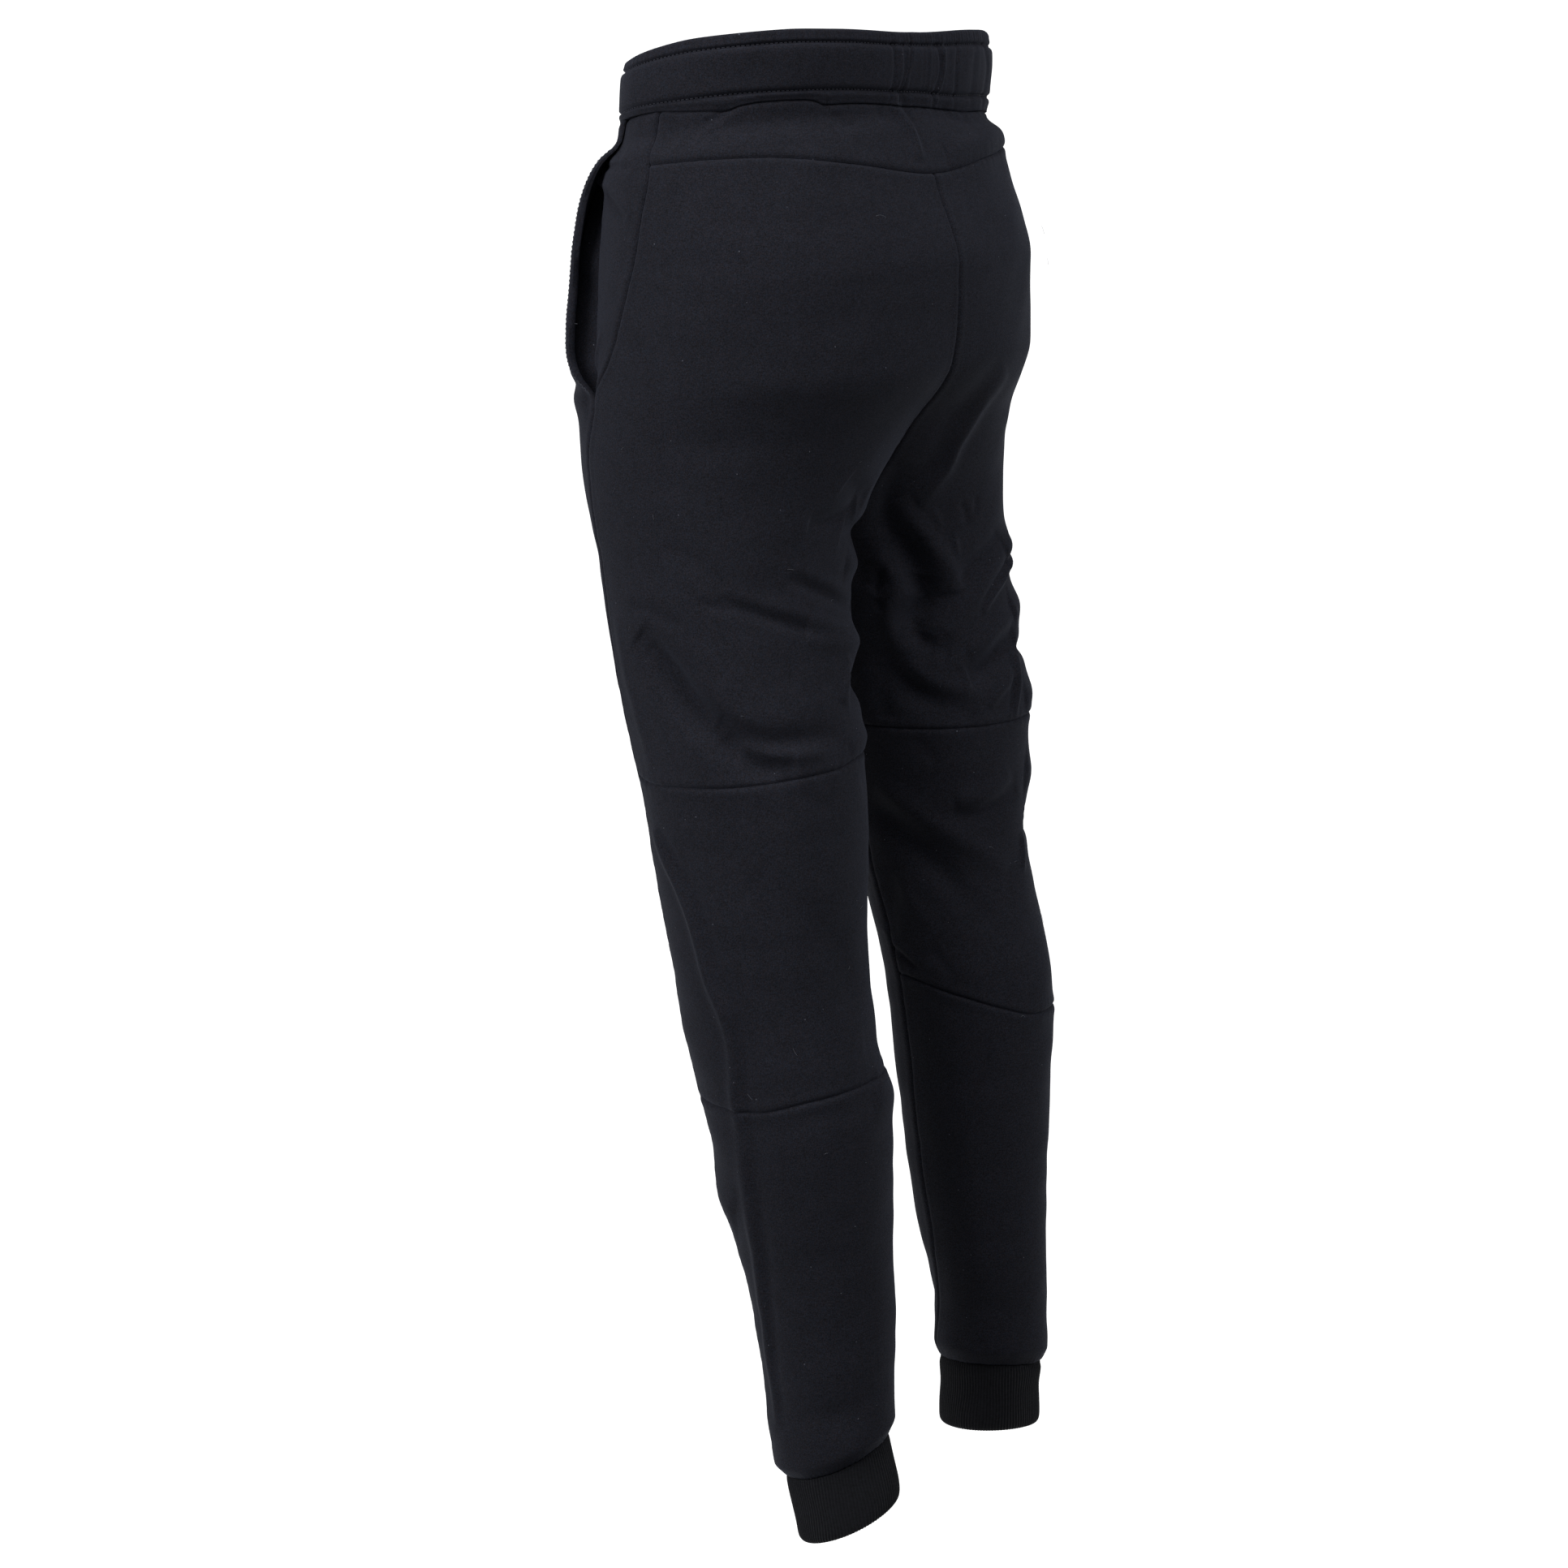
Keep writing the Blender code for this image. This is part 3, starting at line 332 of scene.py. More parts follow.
def section(height):
    """Centre, half sizes and squareness of the section at a height."""
    out = read(SECTIONS, 1, height)
    inn = read(SECTIONS, 2, height)
    back = read(SECTIONS, 3, height)
    front = read(SECTIONS, 4, height)
    square = read(SECTIONS, 5, height)
    return (out + inn) / 2, (back + front) / 2, (out - inn) / 2, (back - front) / 2, square


def centre_angle(height):
    """Angle at which the section meets the middle plane, above the crotch."""
    middle_x, _, half_x, half_y, square = section(height)
    share = np.clip(middle_x / half_x, 0.0, 1.0)
    reach = half_y * np.power(1 - share**square, 1 / square)
    return np.arctan2(reach, -middle_x)


def ring_point(angle, height, side):
    """Point of the plain form, without folds."""
    middle_x, middle_y, half_x, half_y, square = section(height)
    moved_back = read(POSE[side], 1, height)
    lean_out = read(POSE[side], 2, height)
    lean_back = read(POSE[side], 3, height)
    fullness = read(POSE[side], 4, height)
    cosine = np.cos(angle)
    sine = np.sin(angle)
    sum_of_powers = np.abs(cosine / half_x)**square + np.abs(sine / half_y)**square
    radius = fullness / np.power(sum_of_powers, 1 / square)
    outward = radius * cosine
    backward = radius * sine
    x = side * (middle_x + outward)
    y = middle_y + moved_back + backward
    z = height + lean_out * outward + lean_back * backward
    return np.stack([x, y, z], axis=-1)


def fold_rise(folds, angle, height, side):
    """How far a table of folds lifts the cloth, with troughs below zero."""
    rise = np.zeros(np.shape(angle))
    for fold_side, points, width, top, beside in folds:
        if fold_side != side:
            continue
        places = np.linspace(0, 1, len(points))
        rows = [(place, *point) for place, point in zip(places, points)]
        line_at = np.linspace(0, 1, (len(points) - 1) * FOLD_SAMPLES + 1)
        line_angle = np.radians(read(rows, 1, line_at))
        line_y = read(rows, 2, line_at)
        middle = (line_angle.min() + line_angle.max()) / 2
        radius = float(np.mean(section(line_y.mean())[2:4]))
        line_x = line_angle * radius
        away = (angle - middle + math.pi) % (2 * math.pi) - math.pi
        place_x = (middle + away) * radius
        reach = 4 * width
        near = (place_x > line_x.min() - reach) & (place_x < line_x.max() + reach)
        near &= (height > line_y.min() - reach) & (height < line_y.max() + reach)
        if not near.any():
            continue
        near_x = place_x[near]
        near_y = height[near]
        nearest = np.full(near_x.shape, 1e9)
        along = np.zeros(near_x.shape)
        aside = np.zeros(near_x.shape)
        for i in range(len(line_x) - 1):
            run_x = line_x[i + 1] - line_x[i]
            run_y = line_y[i + 1] - line_y[i]
            away_x = near_x - line_x[i]
            away_y = near_y - line_y[i]
            part = np.clip((away_x * run_x + away_y * run_y) / (run_x**2 + run_y**2), 0, 1)
            distance = np.hypot(away_x - part * run_x, away_y - part * run_y)
            closer = distance < nearest
            nearest = np.where(closer, distance, nearest)
            along = np.where(closer, (i + part) / (len(line_x) - 1), along)
            aside = np.where(closer, np.sign(run_x * away_y - run_y * away_x) * side, aside)
        profile = np.exp(-(nearest / width)**2)
        if beside:
            signed = nearest * aside * np.sign(beside)
            profile = profile - abs(beside) * np.exp(-((signed - 1.7 * width) / width)**2)
        rise[near] += top * np.sin(np.pi * along)**0.6 * profile
    x = np.abs(ring_point(angle, height, side)[..., 0])
    return rise * np.where(height > CROTCH - FOLD_FADE, ease(x / FOLD_FADE), 1.0)


def slack(points):
    """Slight wandering of cloth that is nowhere quite taut."""
    random = np.random.default_rng(7)
    moved = np.zeros(points.shape[:-1])
    #                     wavelength, height
    for wavelength, top in ((0.110, 0.00045), (0.085, 0.00035), (0.070, 0.00030), (0.055, 0.00022),
                            (0.045, 0.00018), (0.036, 0.00013), (0.030, 0.00010), (0.024, 0.00007)):
        direction = random.normal(size=3)
        direction = direction / np.linalg.norm(direction)
        phase = random.uniform(0, 2 * math.pi)
        moved += top * np.sin(points @ direction * 2 * math.pi / wavelength + phase)
    return moved


def surface(angle, height, side, lift=0.0):
    """Outer points of the cloth and their outward directions."""
    small_turn = 1e-3
    small_drop = 1e-4
    point = ring_point(angle, height, side)
    along = ring_point(angle + small_turn, height, side) - ring_point(angle - small_turn, height, side)
    down = ring_point(angle, height - small_drop, side) - ring_point(angle, height + small_drop, side)
    normal = np.cross(down, along) * side
    normal = normal / np.linalg.norm(normal, axis=-1, keepdims=True)
    rise = fold_rise(FOLDS, angle, height, side) + slack(point) + lift
    return point + normal * rise[..., None], normal


def back_edge(height):
    """Angle of the centre back seam and, below the crotch, of the inseam."""
    return np.where(height >= CROTCH, centre_angle(height), np.radians(read(INSEAM, 1, height)))


def outer_edge_of_back(height):
    """Angle of the side seam and, below the pocket, of the outseam."""
    side_seam = np.radians(read(SIDE_SEAM, 1, height))
    return np.where(height > POCKET_BOTTOM, side_seam, np.radians(read(OUTSEAM, 1, height)))


def level(height):
    """A line that runs round at one height."""
    return lambda angle: np.full(np.shape(angle), height)


def seam_line(table):
    """A seam that runs round, from its table."""
    return lambda angle: read(table, 1, np.degrees(angle))


def spread(length, step, crowd_start, crowd_end):
    """Shares of a length for the lines of a grid, an even count of spaces, crowded towards a sewn border."""
    crowded = np.array([0.0005, 0.0011, 0.0018, 0.0028, 0.0042])
    first = crowded[-1] if crowd_start else 0.0
    last = length - crowded[-1] if crowd_end else length
    count = max(2, int(math.ceil((last - first) / step)))
    count += (count + len(crowded) * (crowd_start + crowd_end)) % 2
    places = np.linspace(first, last, count + 1)
    if crowd_start:
        places = np.concatenate([[0.0], crowded[:-1], places])
    if crowd_end:
        places = np.concatenate([places, length - crowded[-2::-1], [length]])
    return places / length


def panel_places(lines, edge_a, edge_b, width, step, drop=None):
    """Angles and heights of a panel's points, rows down from its first line to its last.

    drop is the distance from line to line that the rows are counted for; without it, that half way across.
    """
    shares = spread(width, step, True, True)
    middle = np.array([0.5])
    angles = []
    heights = []
    for index in range(len(lines) - 1):
        at = (edge_a(middle * -0.4) + edge_b(middle * -0.4)) / 2
        way_down = drop or float((lines[index](at) - lines[index + 1](at))[0])
        rows = spread(way_down, step, index == 0, index == len(lines) - 2)[:, None]
        height = np.repeat(lines[index](at) * (1 - rows) + lines[index + 1](at) * rows, len(shares), axis=1)
        for _ in range(14):
            angle = edge_a(height) + (edge_b(height) - edge_a(height)) * shares
            height = lines[index](angle) * (1 - rows) + lines[index + 1](angle) * rows
        skipped = 1 if angles else 0
        angles.append(angle[skipped:])
        heights.append(height[skipped:])
    return np.concatenate(angles), np.concatenate(heights)


def border_distances(points):
    """How far each point is, along the cloth, from the first and last column and row."""
    across = np.linalg.norm(np.diff(points, axis=1), axis=-1)
    down = np.linalg.norm(np.diff(points, axis=0), axis=-1)
    from_start = np.pad(np.cumsum(across, axis=1), ((0, 0), (1, 0)))
    from_top = np.pad(np.cumsum(down, axis=0), ((1, 0), (0, 0)))
    return from_start, from_start[:, -1:] - from_start, from_top, from_top[-1:] - from_top


def uneven_wave(along, pitch, phase):
    """An irregular ripple, between about -1 and 1."""
    turn = 2 * math.pi * along / pitch
    return (0.5 * np.sin(turn + phase) + 0.3 * np.sin(0.63 * turn + 2.1 * phase)
            + 0.3 * np.sin(1.58 * turn + 0.7 * phase))


def seam_relief(distance, along, seam):
    """Rise of the cloth beside a seam."""
    pucker, reach, pitch, phase = seam
    rolled = SEAM_DEPTH * np.exp(-(distance / SEAM_ROLL)**2)
    plump = SEAM_PLUMP * np.exp(-((distance - SEAM_PLUMP_AT) / SEAM_PLUMP_WIDTH)**2)
    ripple = pucker * uneven_wave(along, pitch, phase) * np.exp(-(distance / reach)**2)
    return plump + ripple - rolled


def inset(points):
    """Draw the border of a grid of points in by half a seam gap.

    Only the face is drawn in. The back meets its neighbour, so a seam is shut behind its groove.
    """
    moved = points.copy()
    for axis in (0, 1):
        turned = np.moveaxis(moved, axis, 0)
        source = np.moveaxis(points, axis, 0)
        for edge, inner in ((0, 1), (-1, -2)):
            step = source[inner] - source[edge]
            length = np.linalg.norm(step, axis=-1, keepdims=True)
            turned[edge] += step / length * SEAM_GAP / 2
    return moved


def grid_faces(index):
    """Four-cornered faces between the points of a grid."""
    return np.stack([index[:-1, :-1], index[:-1, 1:], index[1:, 1:], index[1:, :-1]], axis=-1).reshape(-1, 4)


def border_loop(index):
    """The points round the border of a grid, in order."""
    return np.concatenate([index[0, :-1], index[:-1, -1], index[-1, :0:-1], index[:0:-1, 0]])


def cloth_shell(name, outer, inner, material):
    """Close a sheet of cloth: its face, its back on every second line, and a rim between them."""
    rows, columns = outer.shape[:2]
    row, column = rows // 2, columns // 2
    corner = outer[row, column]
    turn = np.cross(outer[row, column + 1] - corner, outer[row + 1, column] - corner)
    inside_out = np.dot(turn, corner - inner[row, column]) < 0
    inner = inner[::2, ::2]
    face_index = np.arange(rows * columns).reshape(rows, columns)
    back_index = rows * columns + np.arange(inner.shape[0] * inner.shape[1]).reshape(inner.shape[:2])
    faces = grid_faces(face_index).tolist() + grid_faces(back_index)[:, ::-1].tolist()
    face_border = border_loop(face_index)
    back_border = border_loop(back_index)
    ahead = np.roll(face_border, -2)[::2]
    rim = np.stack([ahead, face_border[1::2], face_border[::2], back_border, np.roll(back_border, -1)], axis=-1)
    faces += rim.tolist()
    if inside_out:
        faces = [face[::-1] for face in faces]
    points = np.concatenate([outer.reshape(-1, 3), inner.reshape(-1, 3)])
    mesh = bpy.data.meshes.new(name)
    mesh.from_pydata(points.tolist(), [], faces)
    mesh.shade_smooth()
    mesh.set_sharp_from_angle(angle=math.radians(60))
    mesh.materials.append(material)
    piece = bpy.data.objects.new(name, mesh)
    bpy.context.scene.collection.objects.link(piece)
    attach(piece, "root")
    return piece


def sew_panel(name, side, places, seams, material, lift=0.0):
    """One cut piece, with the cloth rolled and puckered into the seams at its four borders.

    seams are for its first column, last column, first row and last row.
    """
    angle, height = places
    points, normals = surface(angle, height, side, lift)
    relief = border_relief(points, angle, height, seams)
    outer = inset(points + normals * relief[..., None])
    inner = points - normals * WALL
    return cloth_shell(name, outer, inner, material)


def border_relief(points, angle, height, seams):
    """Relief beside all four borders of a panel."""
    radius = 0.12
    along = (height, height, angle * radius, angle * radius)
    relief = np.zeros(np.shape(angle))
    for distance, place, seam in zip(border_distances(points), along, seams):
        if seam:
            relief += seam_relief(distance, place, seam)
    return relief


def linear(hex_colour):
    """Linear colour from an sRGB hex value."""
    parts = [int(hex_colour[i:i + 2], 16) / 255 for i in (0, 2, 4)]
    return (*[p / 12.92 if p <= 0.04045 else ((p + 0.055) / 1.055)**2.4 for p in parts], 1.0)


def add_node(tree, kind, sockets, **settings):
    """Add a shader node with its settings, and give its sockets their values or links."""
    added = tree.nodes.new(kind)
    for name, value in settings.items():
        setattr(added, name, value)
    for socket, value in sockets.items():
        if isinstance(value, bpy.types.NodeSocket):
            tree.links.new(value, added.inputs[socket])
        else:
            added.inputs[socket].default_value = value
    return added


def brushed_fleece():
    """Cotton fleece, brushed: a dense short nap over a fine knit.

    It gives the eye a matt dark navy with a fine speckled grain, fibres of warmer and cooler dye
    mixed in, faint level courses of the knit under it, and here and there a speck of pale lint.
    """
    material = bpy.data.materials.new("brushed cotton fleece, dark navy")
    material.use_nodes = True
    tree = material.node_tree
    shader = tree.nodes["Principled BSDF"]
    place = add_node(tree, "ShaderNodeTexCoord", {}).outputs["Object"]
    # grain of the nap, 0.8 mm; real fibres are finer than the render can show
    nap = add_node(tree, "ShaderNodeTexNoise",
                   {"Vector": place, "Scale": 1 / 0.0008, "Detail": 3.0, "Roughness": 0.75}).outputs["Fac"]
    # courses of the knit, as level streaks about 4 mm long and 1 mm tall
    streak_place = add_node(tree, "ShaderNodeMapping", {"Vector": place, "Scale": (1.0, 1.0, 4.0)}).outputs["Vector"]
    courses = add_node(tree, "ShaderNodeTexNoise",
                       {"Vector": streak_place, "Scale": 1 / 0.0038, "Detail": 2.0}).outputs["Fac"]
    # clouds where the nap leans, 12 mm
    clouds = add_node(tree, "ShaderNodeTexNoise",
                      {"Vector": place, "Scale": 1 / 0.012, "Detail": 3.0}).outputs["Fac"]
    grain = add_node(tree, "ShaderNodeMath", {0: nap, 1: 0.78}, operation="MULTIPLY").outputs[0]
    grain = add_node(tree, "ShaderNodeMath", {0: courses, 1: 0.15, 2: grain}, operation="MULTIPLY_ADD").outputs[0]
    grain = add_node(tree, "ShaderNodeMath", {0: clouds, 1: 0.07, 2: grain}, operation="MULTIPLY_ADD").outputs[0]
    share = add_node(tree, "ShaderNodeMapRange",
                     {"Value": grain, "From Min": 0.36, "From Max": 0.64}).outputs["Result"]
    plain = add_node(tree, "ShaderNodeMix", {0: share, 6: linear("101013"), 7: linear("2f2f39")}, data_type="RGBA")
    # warmer and cooler fibres, 1.5 mm
    dye_place = add_node(tree, "ShaderNodeMapping", {"Vector": place, "Location": (0.3, 0.7, 0.1)}).outputs["Vector"]
    dye = add_node(tree, "ShaderNodeTexNoise",
                   {"Vector": dye_place, "Scale": 1 / 0.0015, "Detail": 1.0}).outputs["Fac"]
    dye = add_node(tree, "ShaderNodeMapRange", {"Value": dye, "From Min": 0.35, "From Max": 0.65}).outputs["Result"]
    tint = add_node(tree, "ShaderNodeMix", {0: dye, 6: linear("fff5ec"), 7: linear("ecfaff")}, data_type="RGBA")
    dyed = add_node(tree, "ShaderNodeMix", {0: 1.0, 6: plain.outputs[2], 7: tint.outputs[2]},
                    data_type="RGBA", blend_type="MULTIPLY")
    # specks of lint, 0.8 mm across and some centimetres apart
    lint = add_node(tree, "ShaderNodeTexVoronoi", {"Vector": place, "Scale": 1 / 0.013}).outputs["Distance"]
    speck = add_node(tree, "ShaderNodeMath", {0: lint, 1: 0.030}, operation="LESS_THAN").outputs[0]
    colour = add_node(tree, "ShaderNodeMix", {0: speck, 6: dyed.outputs[2], 7: linear("62646e")}, data_type="RGBA")
    tree.links.new(colour.outputs[2], shader.inputs["Base Color"])
    bump = add_node(tree, "ShaderNodeBump", {"Height": grain, "Strength": 0.5, "Distance": 0.0006})
    tree.links.new(bump.outputs["Normal"], shader.inputs["Normal"])
    shader.inputs["Roughness"].default_value = 0.95
    shader.inputs["Specular IOR Level"].default_value = 0.15
    shader.inputs["Sheen Weight"].default_value = 0.12
    shader.inputs["Sheen Roughness"].default_value = 0.45
    shader.inputs["Sheen Tint"].default_value = linear("aab4d2")
    return material


fleece = brushed_fleece()

BACK_STEPS = {"thigh": 0.0015, "knee": 0.0019, "calf": 0.0020}   # spacing of the cloth's points

for side in (LEFT, RIGHT):
    below_knee = seam_line(BELOW_KNEE[side])
    above_knee = seam_line(ABOVE_KNEE[side])
    hem = level(HEM_HEIGHT[side])
    back_parts = (("thigh", [seam_line(YOKE_SEAM), level(POCKET_BOTTOM), level(CROTCH), above_knee],
                   0.30, PLAIN_SEAM, KNEE_SEAM),
                  ("knee", [above_knee, below_knee], 0.27, KNEE_SEAM, KNEE_SEAM),
                  ("calf", [below_knee, hem], 0.22, KNEE_SEAM, HEM_JOIN))
    for part, lines, width, seam_above, seam_below in back_parts:
        places = panel_places(lines, outer_edge_of_back, back_edge, width, BACK_STEPS[part])
        name = f"back_{part}_{SIDE_NAMES[side]}"
        piece = sew_panel(f"fleece_{name}", side, places, (PLAIN_SEAM, PLAIN_SEAM, seam_above, seam_below), fleece)
        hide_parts(name)

# Back yoke
# One shallow piece of the same fleece from side seam to side seam, sewn to the elastic waistband,
# which eases it into small uneven puckers, and to the top of both backs.
WAIST_SEAM = {LEFT: [(-90.0, -0.0270), (-60.0, -0.0230), (-30.0, -0.0175), (-11.0, -0.0145), (-1.0, -0.0140),
                     (8.0, -0.0163), (13.0, -0.0176), (17.0, -0.0190), (21.0, -0.0165), (25.0, -0.0156),
                     (34.0, -0.0163), (40.0, -0.0178), (44.0, -0.0212), (51.0, -0.0214), (68.0, -0.0233),
                     (79.0, -0.0252), (90.0, -0.0265)],
              RIGHT: [(-90.0, -0.0270), (-40.0, -0.0225), (0.0, -0.0240), (31.0, -0.0256), (54.0, -0.0282),
                      (71.0, -0.0274), (90.0, -0.0265)]}
YOKE_STEP = 0.0013

yoke_halves = []
for side in (RIGHT, LEFT):
    places = panel_places([seam_line(WAIST_SEAM[side]), seam_line(YOKE_SEAM)], outer_edge_of_back, back_edge, 0.19,
                          YOKE_STEP, drop=0.036)
    points, normals = surface(*places, side)
    yoke_halves.append((points, normals, *places))
points, normals, angle, height = [np.concatenate([right, left[:, -2::-1]], axis=1)
                                  for right, left in zip(*yoke_halves)]
half_columns = yoke_halves[0][0].shape[1]
normals[:, half_columns - 1, 0] = 0.0
signed_angle = angle.copy()
signed_angle[:, half_columns:] = math.pi - signed_angle[:, half_columns:]
relief = border_relief(points, signed_angle, height, (PLAIN_SEAM, PLAIN_SEAM, WAIST_JOIN, PLAIN_SEAM))
yoke = cloth_shell("fleece_yoke", inset(points + normals * relief[..., None]), points - normals * WALL, fleece)
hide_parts("back_yoke")

# Side panels
# A narrow piece of fleece down each hip, seen in the pocket's mouth and carried on behind the
# front, where the pocket bag is sewn to it. Its visible edge rolls sharply away into the pocket.
POCKET_STAND = 0.0110     # how far the pocket mouth's edge stands out at its widest
POCKET_SINK = 0.0015      # how far the side panel falls back before it rolls away
PANEL_ROLL = 0.0088       # how deep it rolls into the pocket, and over what width
PANEL_ROLL_WIDTH = 0.0060
POCKET_REACH = 0.045      # how far forward of the mouth the front is lifted
UNDER_FRONT = 0.0009      # side panel's clearance behind the front
POCKET_END_ANGLE = -45.0  # forward end of the side panel, behind the front
PANEL_VALLEY = 2.2        # degrees forward of that edge where it starts to rise again, and how
PANEL_RISE = 9.0          # many degrees it takes to reach the front's inside
PANEL_STEP = 0.0015
#                height   angle
POCKET_MOUTH = [(0.030, -15.0),
                (-0.027, -16.0),
                (-0.075, -22.0),
                (-0.130, -26.0),
                (-0.175, -25.5),
                (-0.204, -19.5)]
# The share of the pocket's full depth at each height.
POCKET_DEPTH = [(0.030, 0.0),
                (-0.028, 0.0),
                (-0.070, 0.95),
                (-0.120, 1.05),
                (-0.165, 1.20),
                (-0.188, 0.95),
                (-0.204, 0.0)]


def pocket_lift(angle, height):
    """How far the front's mouth edge stands out."""
    mouth = np.radians(read(POCKET_MOUTH, 1, height))
    radius = float(np.mean(section(-0.12)[2:4]))
    forward = (mouth - angle) * radius
    lift = POCKET_STAND * read(POCKET_DEPTH, 1, height) * np.exp(-(np.maximum(forward, 0) / POCKET_REACH)**2)
    return np.where(height > POCKET_BOTTOM, lift, 0.0)


# Where the side panel rolls away, with a small knot of cloth that stands out near the top.
#              height   angle
PANEL_EDGE = [(0.030, -18.0),
              (-0.028, -18.0),
              (-0.045, -19.5),
              (-0.054, -23.5),
              (-0.064, -21.5),
              (-0.110, -21.5),
              (-0.133, -22.5),
              (-0.160, -22.0),
              (-0.204, -19.0)]
# Creases of the side panels; columns as in FOLDS.
PANEL_FOLDS = [(LEFT, ((-25, -0.0535), (-22, -0.0550)), 0.0035, 0.0040, 0.0),
               (LEFT, ((-26, -0.042), (-20, -0.044), (-12, -0.045), (-5, -0.051)), 0.0035, -0.0022, 0.0),
               (LEFT, ((-24, -0.057), (-18, -0.058), (-8, -0.070), (-4, -0.080)), 0.0040, 0.0018, 0.0),
               (LEFT, ((-17, -0.032), (-13, -0.036), (-9, -0.040)), 0.0040, -0.0012, 0.0),
               (LEFT, ((-17, -0.064), (-13, -0.070), (-9, -0.076), (-6, -0.082)), 0.0045, -0.0018, 0.0),
               (LEFT, ((-17, -0.158), (-20, -0.173), (-21, -0.185)), 0.0035, 0.0015, 0.0),
               (RIGHT, ((-24, -0.047), (-14, -0.050), (-5, -0.058)), 0.0040, -0.0018, 0.0),
               (RIGHT, ((-22, -0.060), (-13, -0.068), (-6, -0.088)), 0.0045, 0.0016, 0.0),
               (RIGHT, ((-16, -0.150), (-19, -0.170), (-20, -0.184)), 0.0040, 0.0014, 0.0)]


def side_panel_lift(angle, height, side):
    """How far the side panel stands out: it falls back, rolls into the pocket, and rises again behind the front."""
    mouth = np.radians(read(POCKET_MOUTH, 1, height))
    seam = np.radians(read(SIDE_SEAM, 1, height))
    depth = read(POCKET_DEPTH, 1, height)
    across = (seam - angle) / np.maximum(seam - mouth, 0.02)
    radius = float(np.mean(section(-0.12)[2:4]))
    edge = np.radians(read(PANEL_EDGE, 1, height))
    past_edge = (edge - angle) * radius
    back_to_front = ease((edge - math.radians(PANEL_VALLEY) - angle) / math.radians(PANEL_RISE))
    sink = (WALL + UNDER_FRONT + POCKET_SINK * depth) * ease(across)
    roll = PANEL_ROLL * depth * ease(past_edge / PANEL_ROLL_WIDTH) * (1 - back_to_front)
    return pocket_lift(angle, height) * back_to_front - sink - roll + fold_rise(PANEL_FOLDS, angle, height, side)


def outer_edge_of_front(height):
    """Angle of the pocket mouth and, below the pocket, of the outseam."""
    mouth = np.radians(read(POCKET_MOUTH, 1, height))
    return np.where(height > POCKET_BOTTOM, mouth, np.radians(read(OUTSEAM, 1, height)))


def pocket_end(height):
    """Angle of the side panel's forward end, behind the front."""
    return np.full(np.shape(height), math.radians(POCKET_END_ANGLE))


for side in (LEFT, RIGHT):
    lines = [seam_line(WAIST_SEAM[side]), seam_line(YOKE_SEAM), level(POCKET_BOTTOM + 0.002)]
    places = panel_places(lines, outer_edge_of_back, pocket_end, 0.12, PANEL_STEP)
    name = f"side_panel_{SIDE_NAMES[side]}"
    piece = sew_panel(f"fleece_{name}", side, places, (PLAIN_SEAM, None, WAIST_JOIN, None), fleece,
                      side_panel_lift(*places, side))
    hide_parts(name)

# Fronts
# One long piece of fleece down the front of each leg, from the waistband to the cuff. Its upper
# outer edge is turned in and stitched down as the hemmed mouth of the pocket, which stands open.
MOUTH_HEM = 0.0027        # how much thicker the turned-in hem is
MOUTH_HEM_WIDTH = 0.0085
FRONT_STEP = 0.0022


def front_edge(height):
    """Angle of the centre front seam and of the inseam, reached from the front."""
    inseam = np.radians(read(INSEAM, 1, height)) - 2 * math.pi
    return np.where(height >= CROTCH, -centre_angle(height), inseam)


for side in (LEFT, RIGHT):
    lines = [seam_line(WAIST_SEAM[side]), seam_line(YOKE_SEAM), level(POCKET_BOTTOM), level(CROTCH),
             seam_line(ABOVE_KNEE[side]), seam_line(BELOW_KNEE[side]), level(HEM_HEIGHT[side])]
    angle, height = panel_places(lines, outer_edge_of_front, front_edge, 0.16, FRONT_STEP)
    points, normals = surface(angle, height, side, pocket_lift(angle, height))
    relief = border_relief(points, angle, height, (PLAIN_SEAM, PLAIN_SEAM, WAIST_JOIN, HEM_JOIN))
    from_mouth = border_distances(points)[0]
    hem = read(POCKET_DEPTH, 1, height) * np.where(height > POCKET_BOTTOM, 1.0, 0.0)
    thicker = MOUTH_HEM * hem * (1 - ease((from_mouth - MOUTH_HEM_WIDTH) / 0.002))
    rounded = 0.0010 * np.exp(-(from_mouth / 0.0010)**2) * hem
    outer = inset(points + normals * relief[..., None])
    inner = points - normals * (WALL + thicker - rounded)[..., None]
    name = f"front_{SIDE_NAMES[side]}"
    piece = cloth_shell(f"fleece_{name}", outer, inner, fleece)
    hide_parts(name)

# Waistband
# Fleece folded over a wide elastic, held by one row of topstitching near its rolled top and one
# above the seam, and closed by an upright seam behind. The elastic draws it into fine gathers.
BAND_WALL = 0.0048
BAND_PUFF = 0.0026        # how far the band stands out between its two stitch rows
LOWER_ROW = 0.15          # stitch rows, as shares of the band's height
UPPER_ROW = 0.815
BAND_LEAN = 0.0022        # how far its rolled top leans in
ROW_DEPTH = 0.0023
ROW_WIDTH = 0.030
BAND_TOP_ROLL = 0.925     # where the rolled top begins
WAIST_TOP_EDGE = [(-90.0, 0.025), (-20.0, 0.024), (10.0, 0.030), (30.0, 0.0295), (45.0, 0.0275), (90.0, 0.0225)]
# Height of the lower stitch row; it runs straighter than the seam under it.
LOWER_ROW_LINE = {LEFT: [(-90.0, -0.0190), (-30.0, -0.0115), (-14.0, -0.0100), (0.0, -0.0085), (15.0, -0.0085),
                         (25.0, -0.0092), (32.0, -0.0100), (50.0, -0.0120), (72.0, -0.0150), (90.0, -0.0165)],
                  RIGHT: [(-90.0, -0.0190), (0.0, -0.0140), (35.0, -0.0155), (63.0, -0.0180), (90.0, -0.0165)]}

BAND_COLUMNS = 800
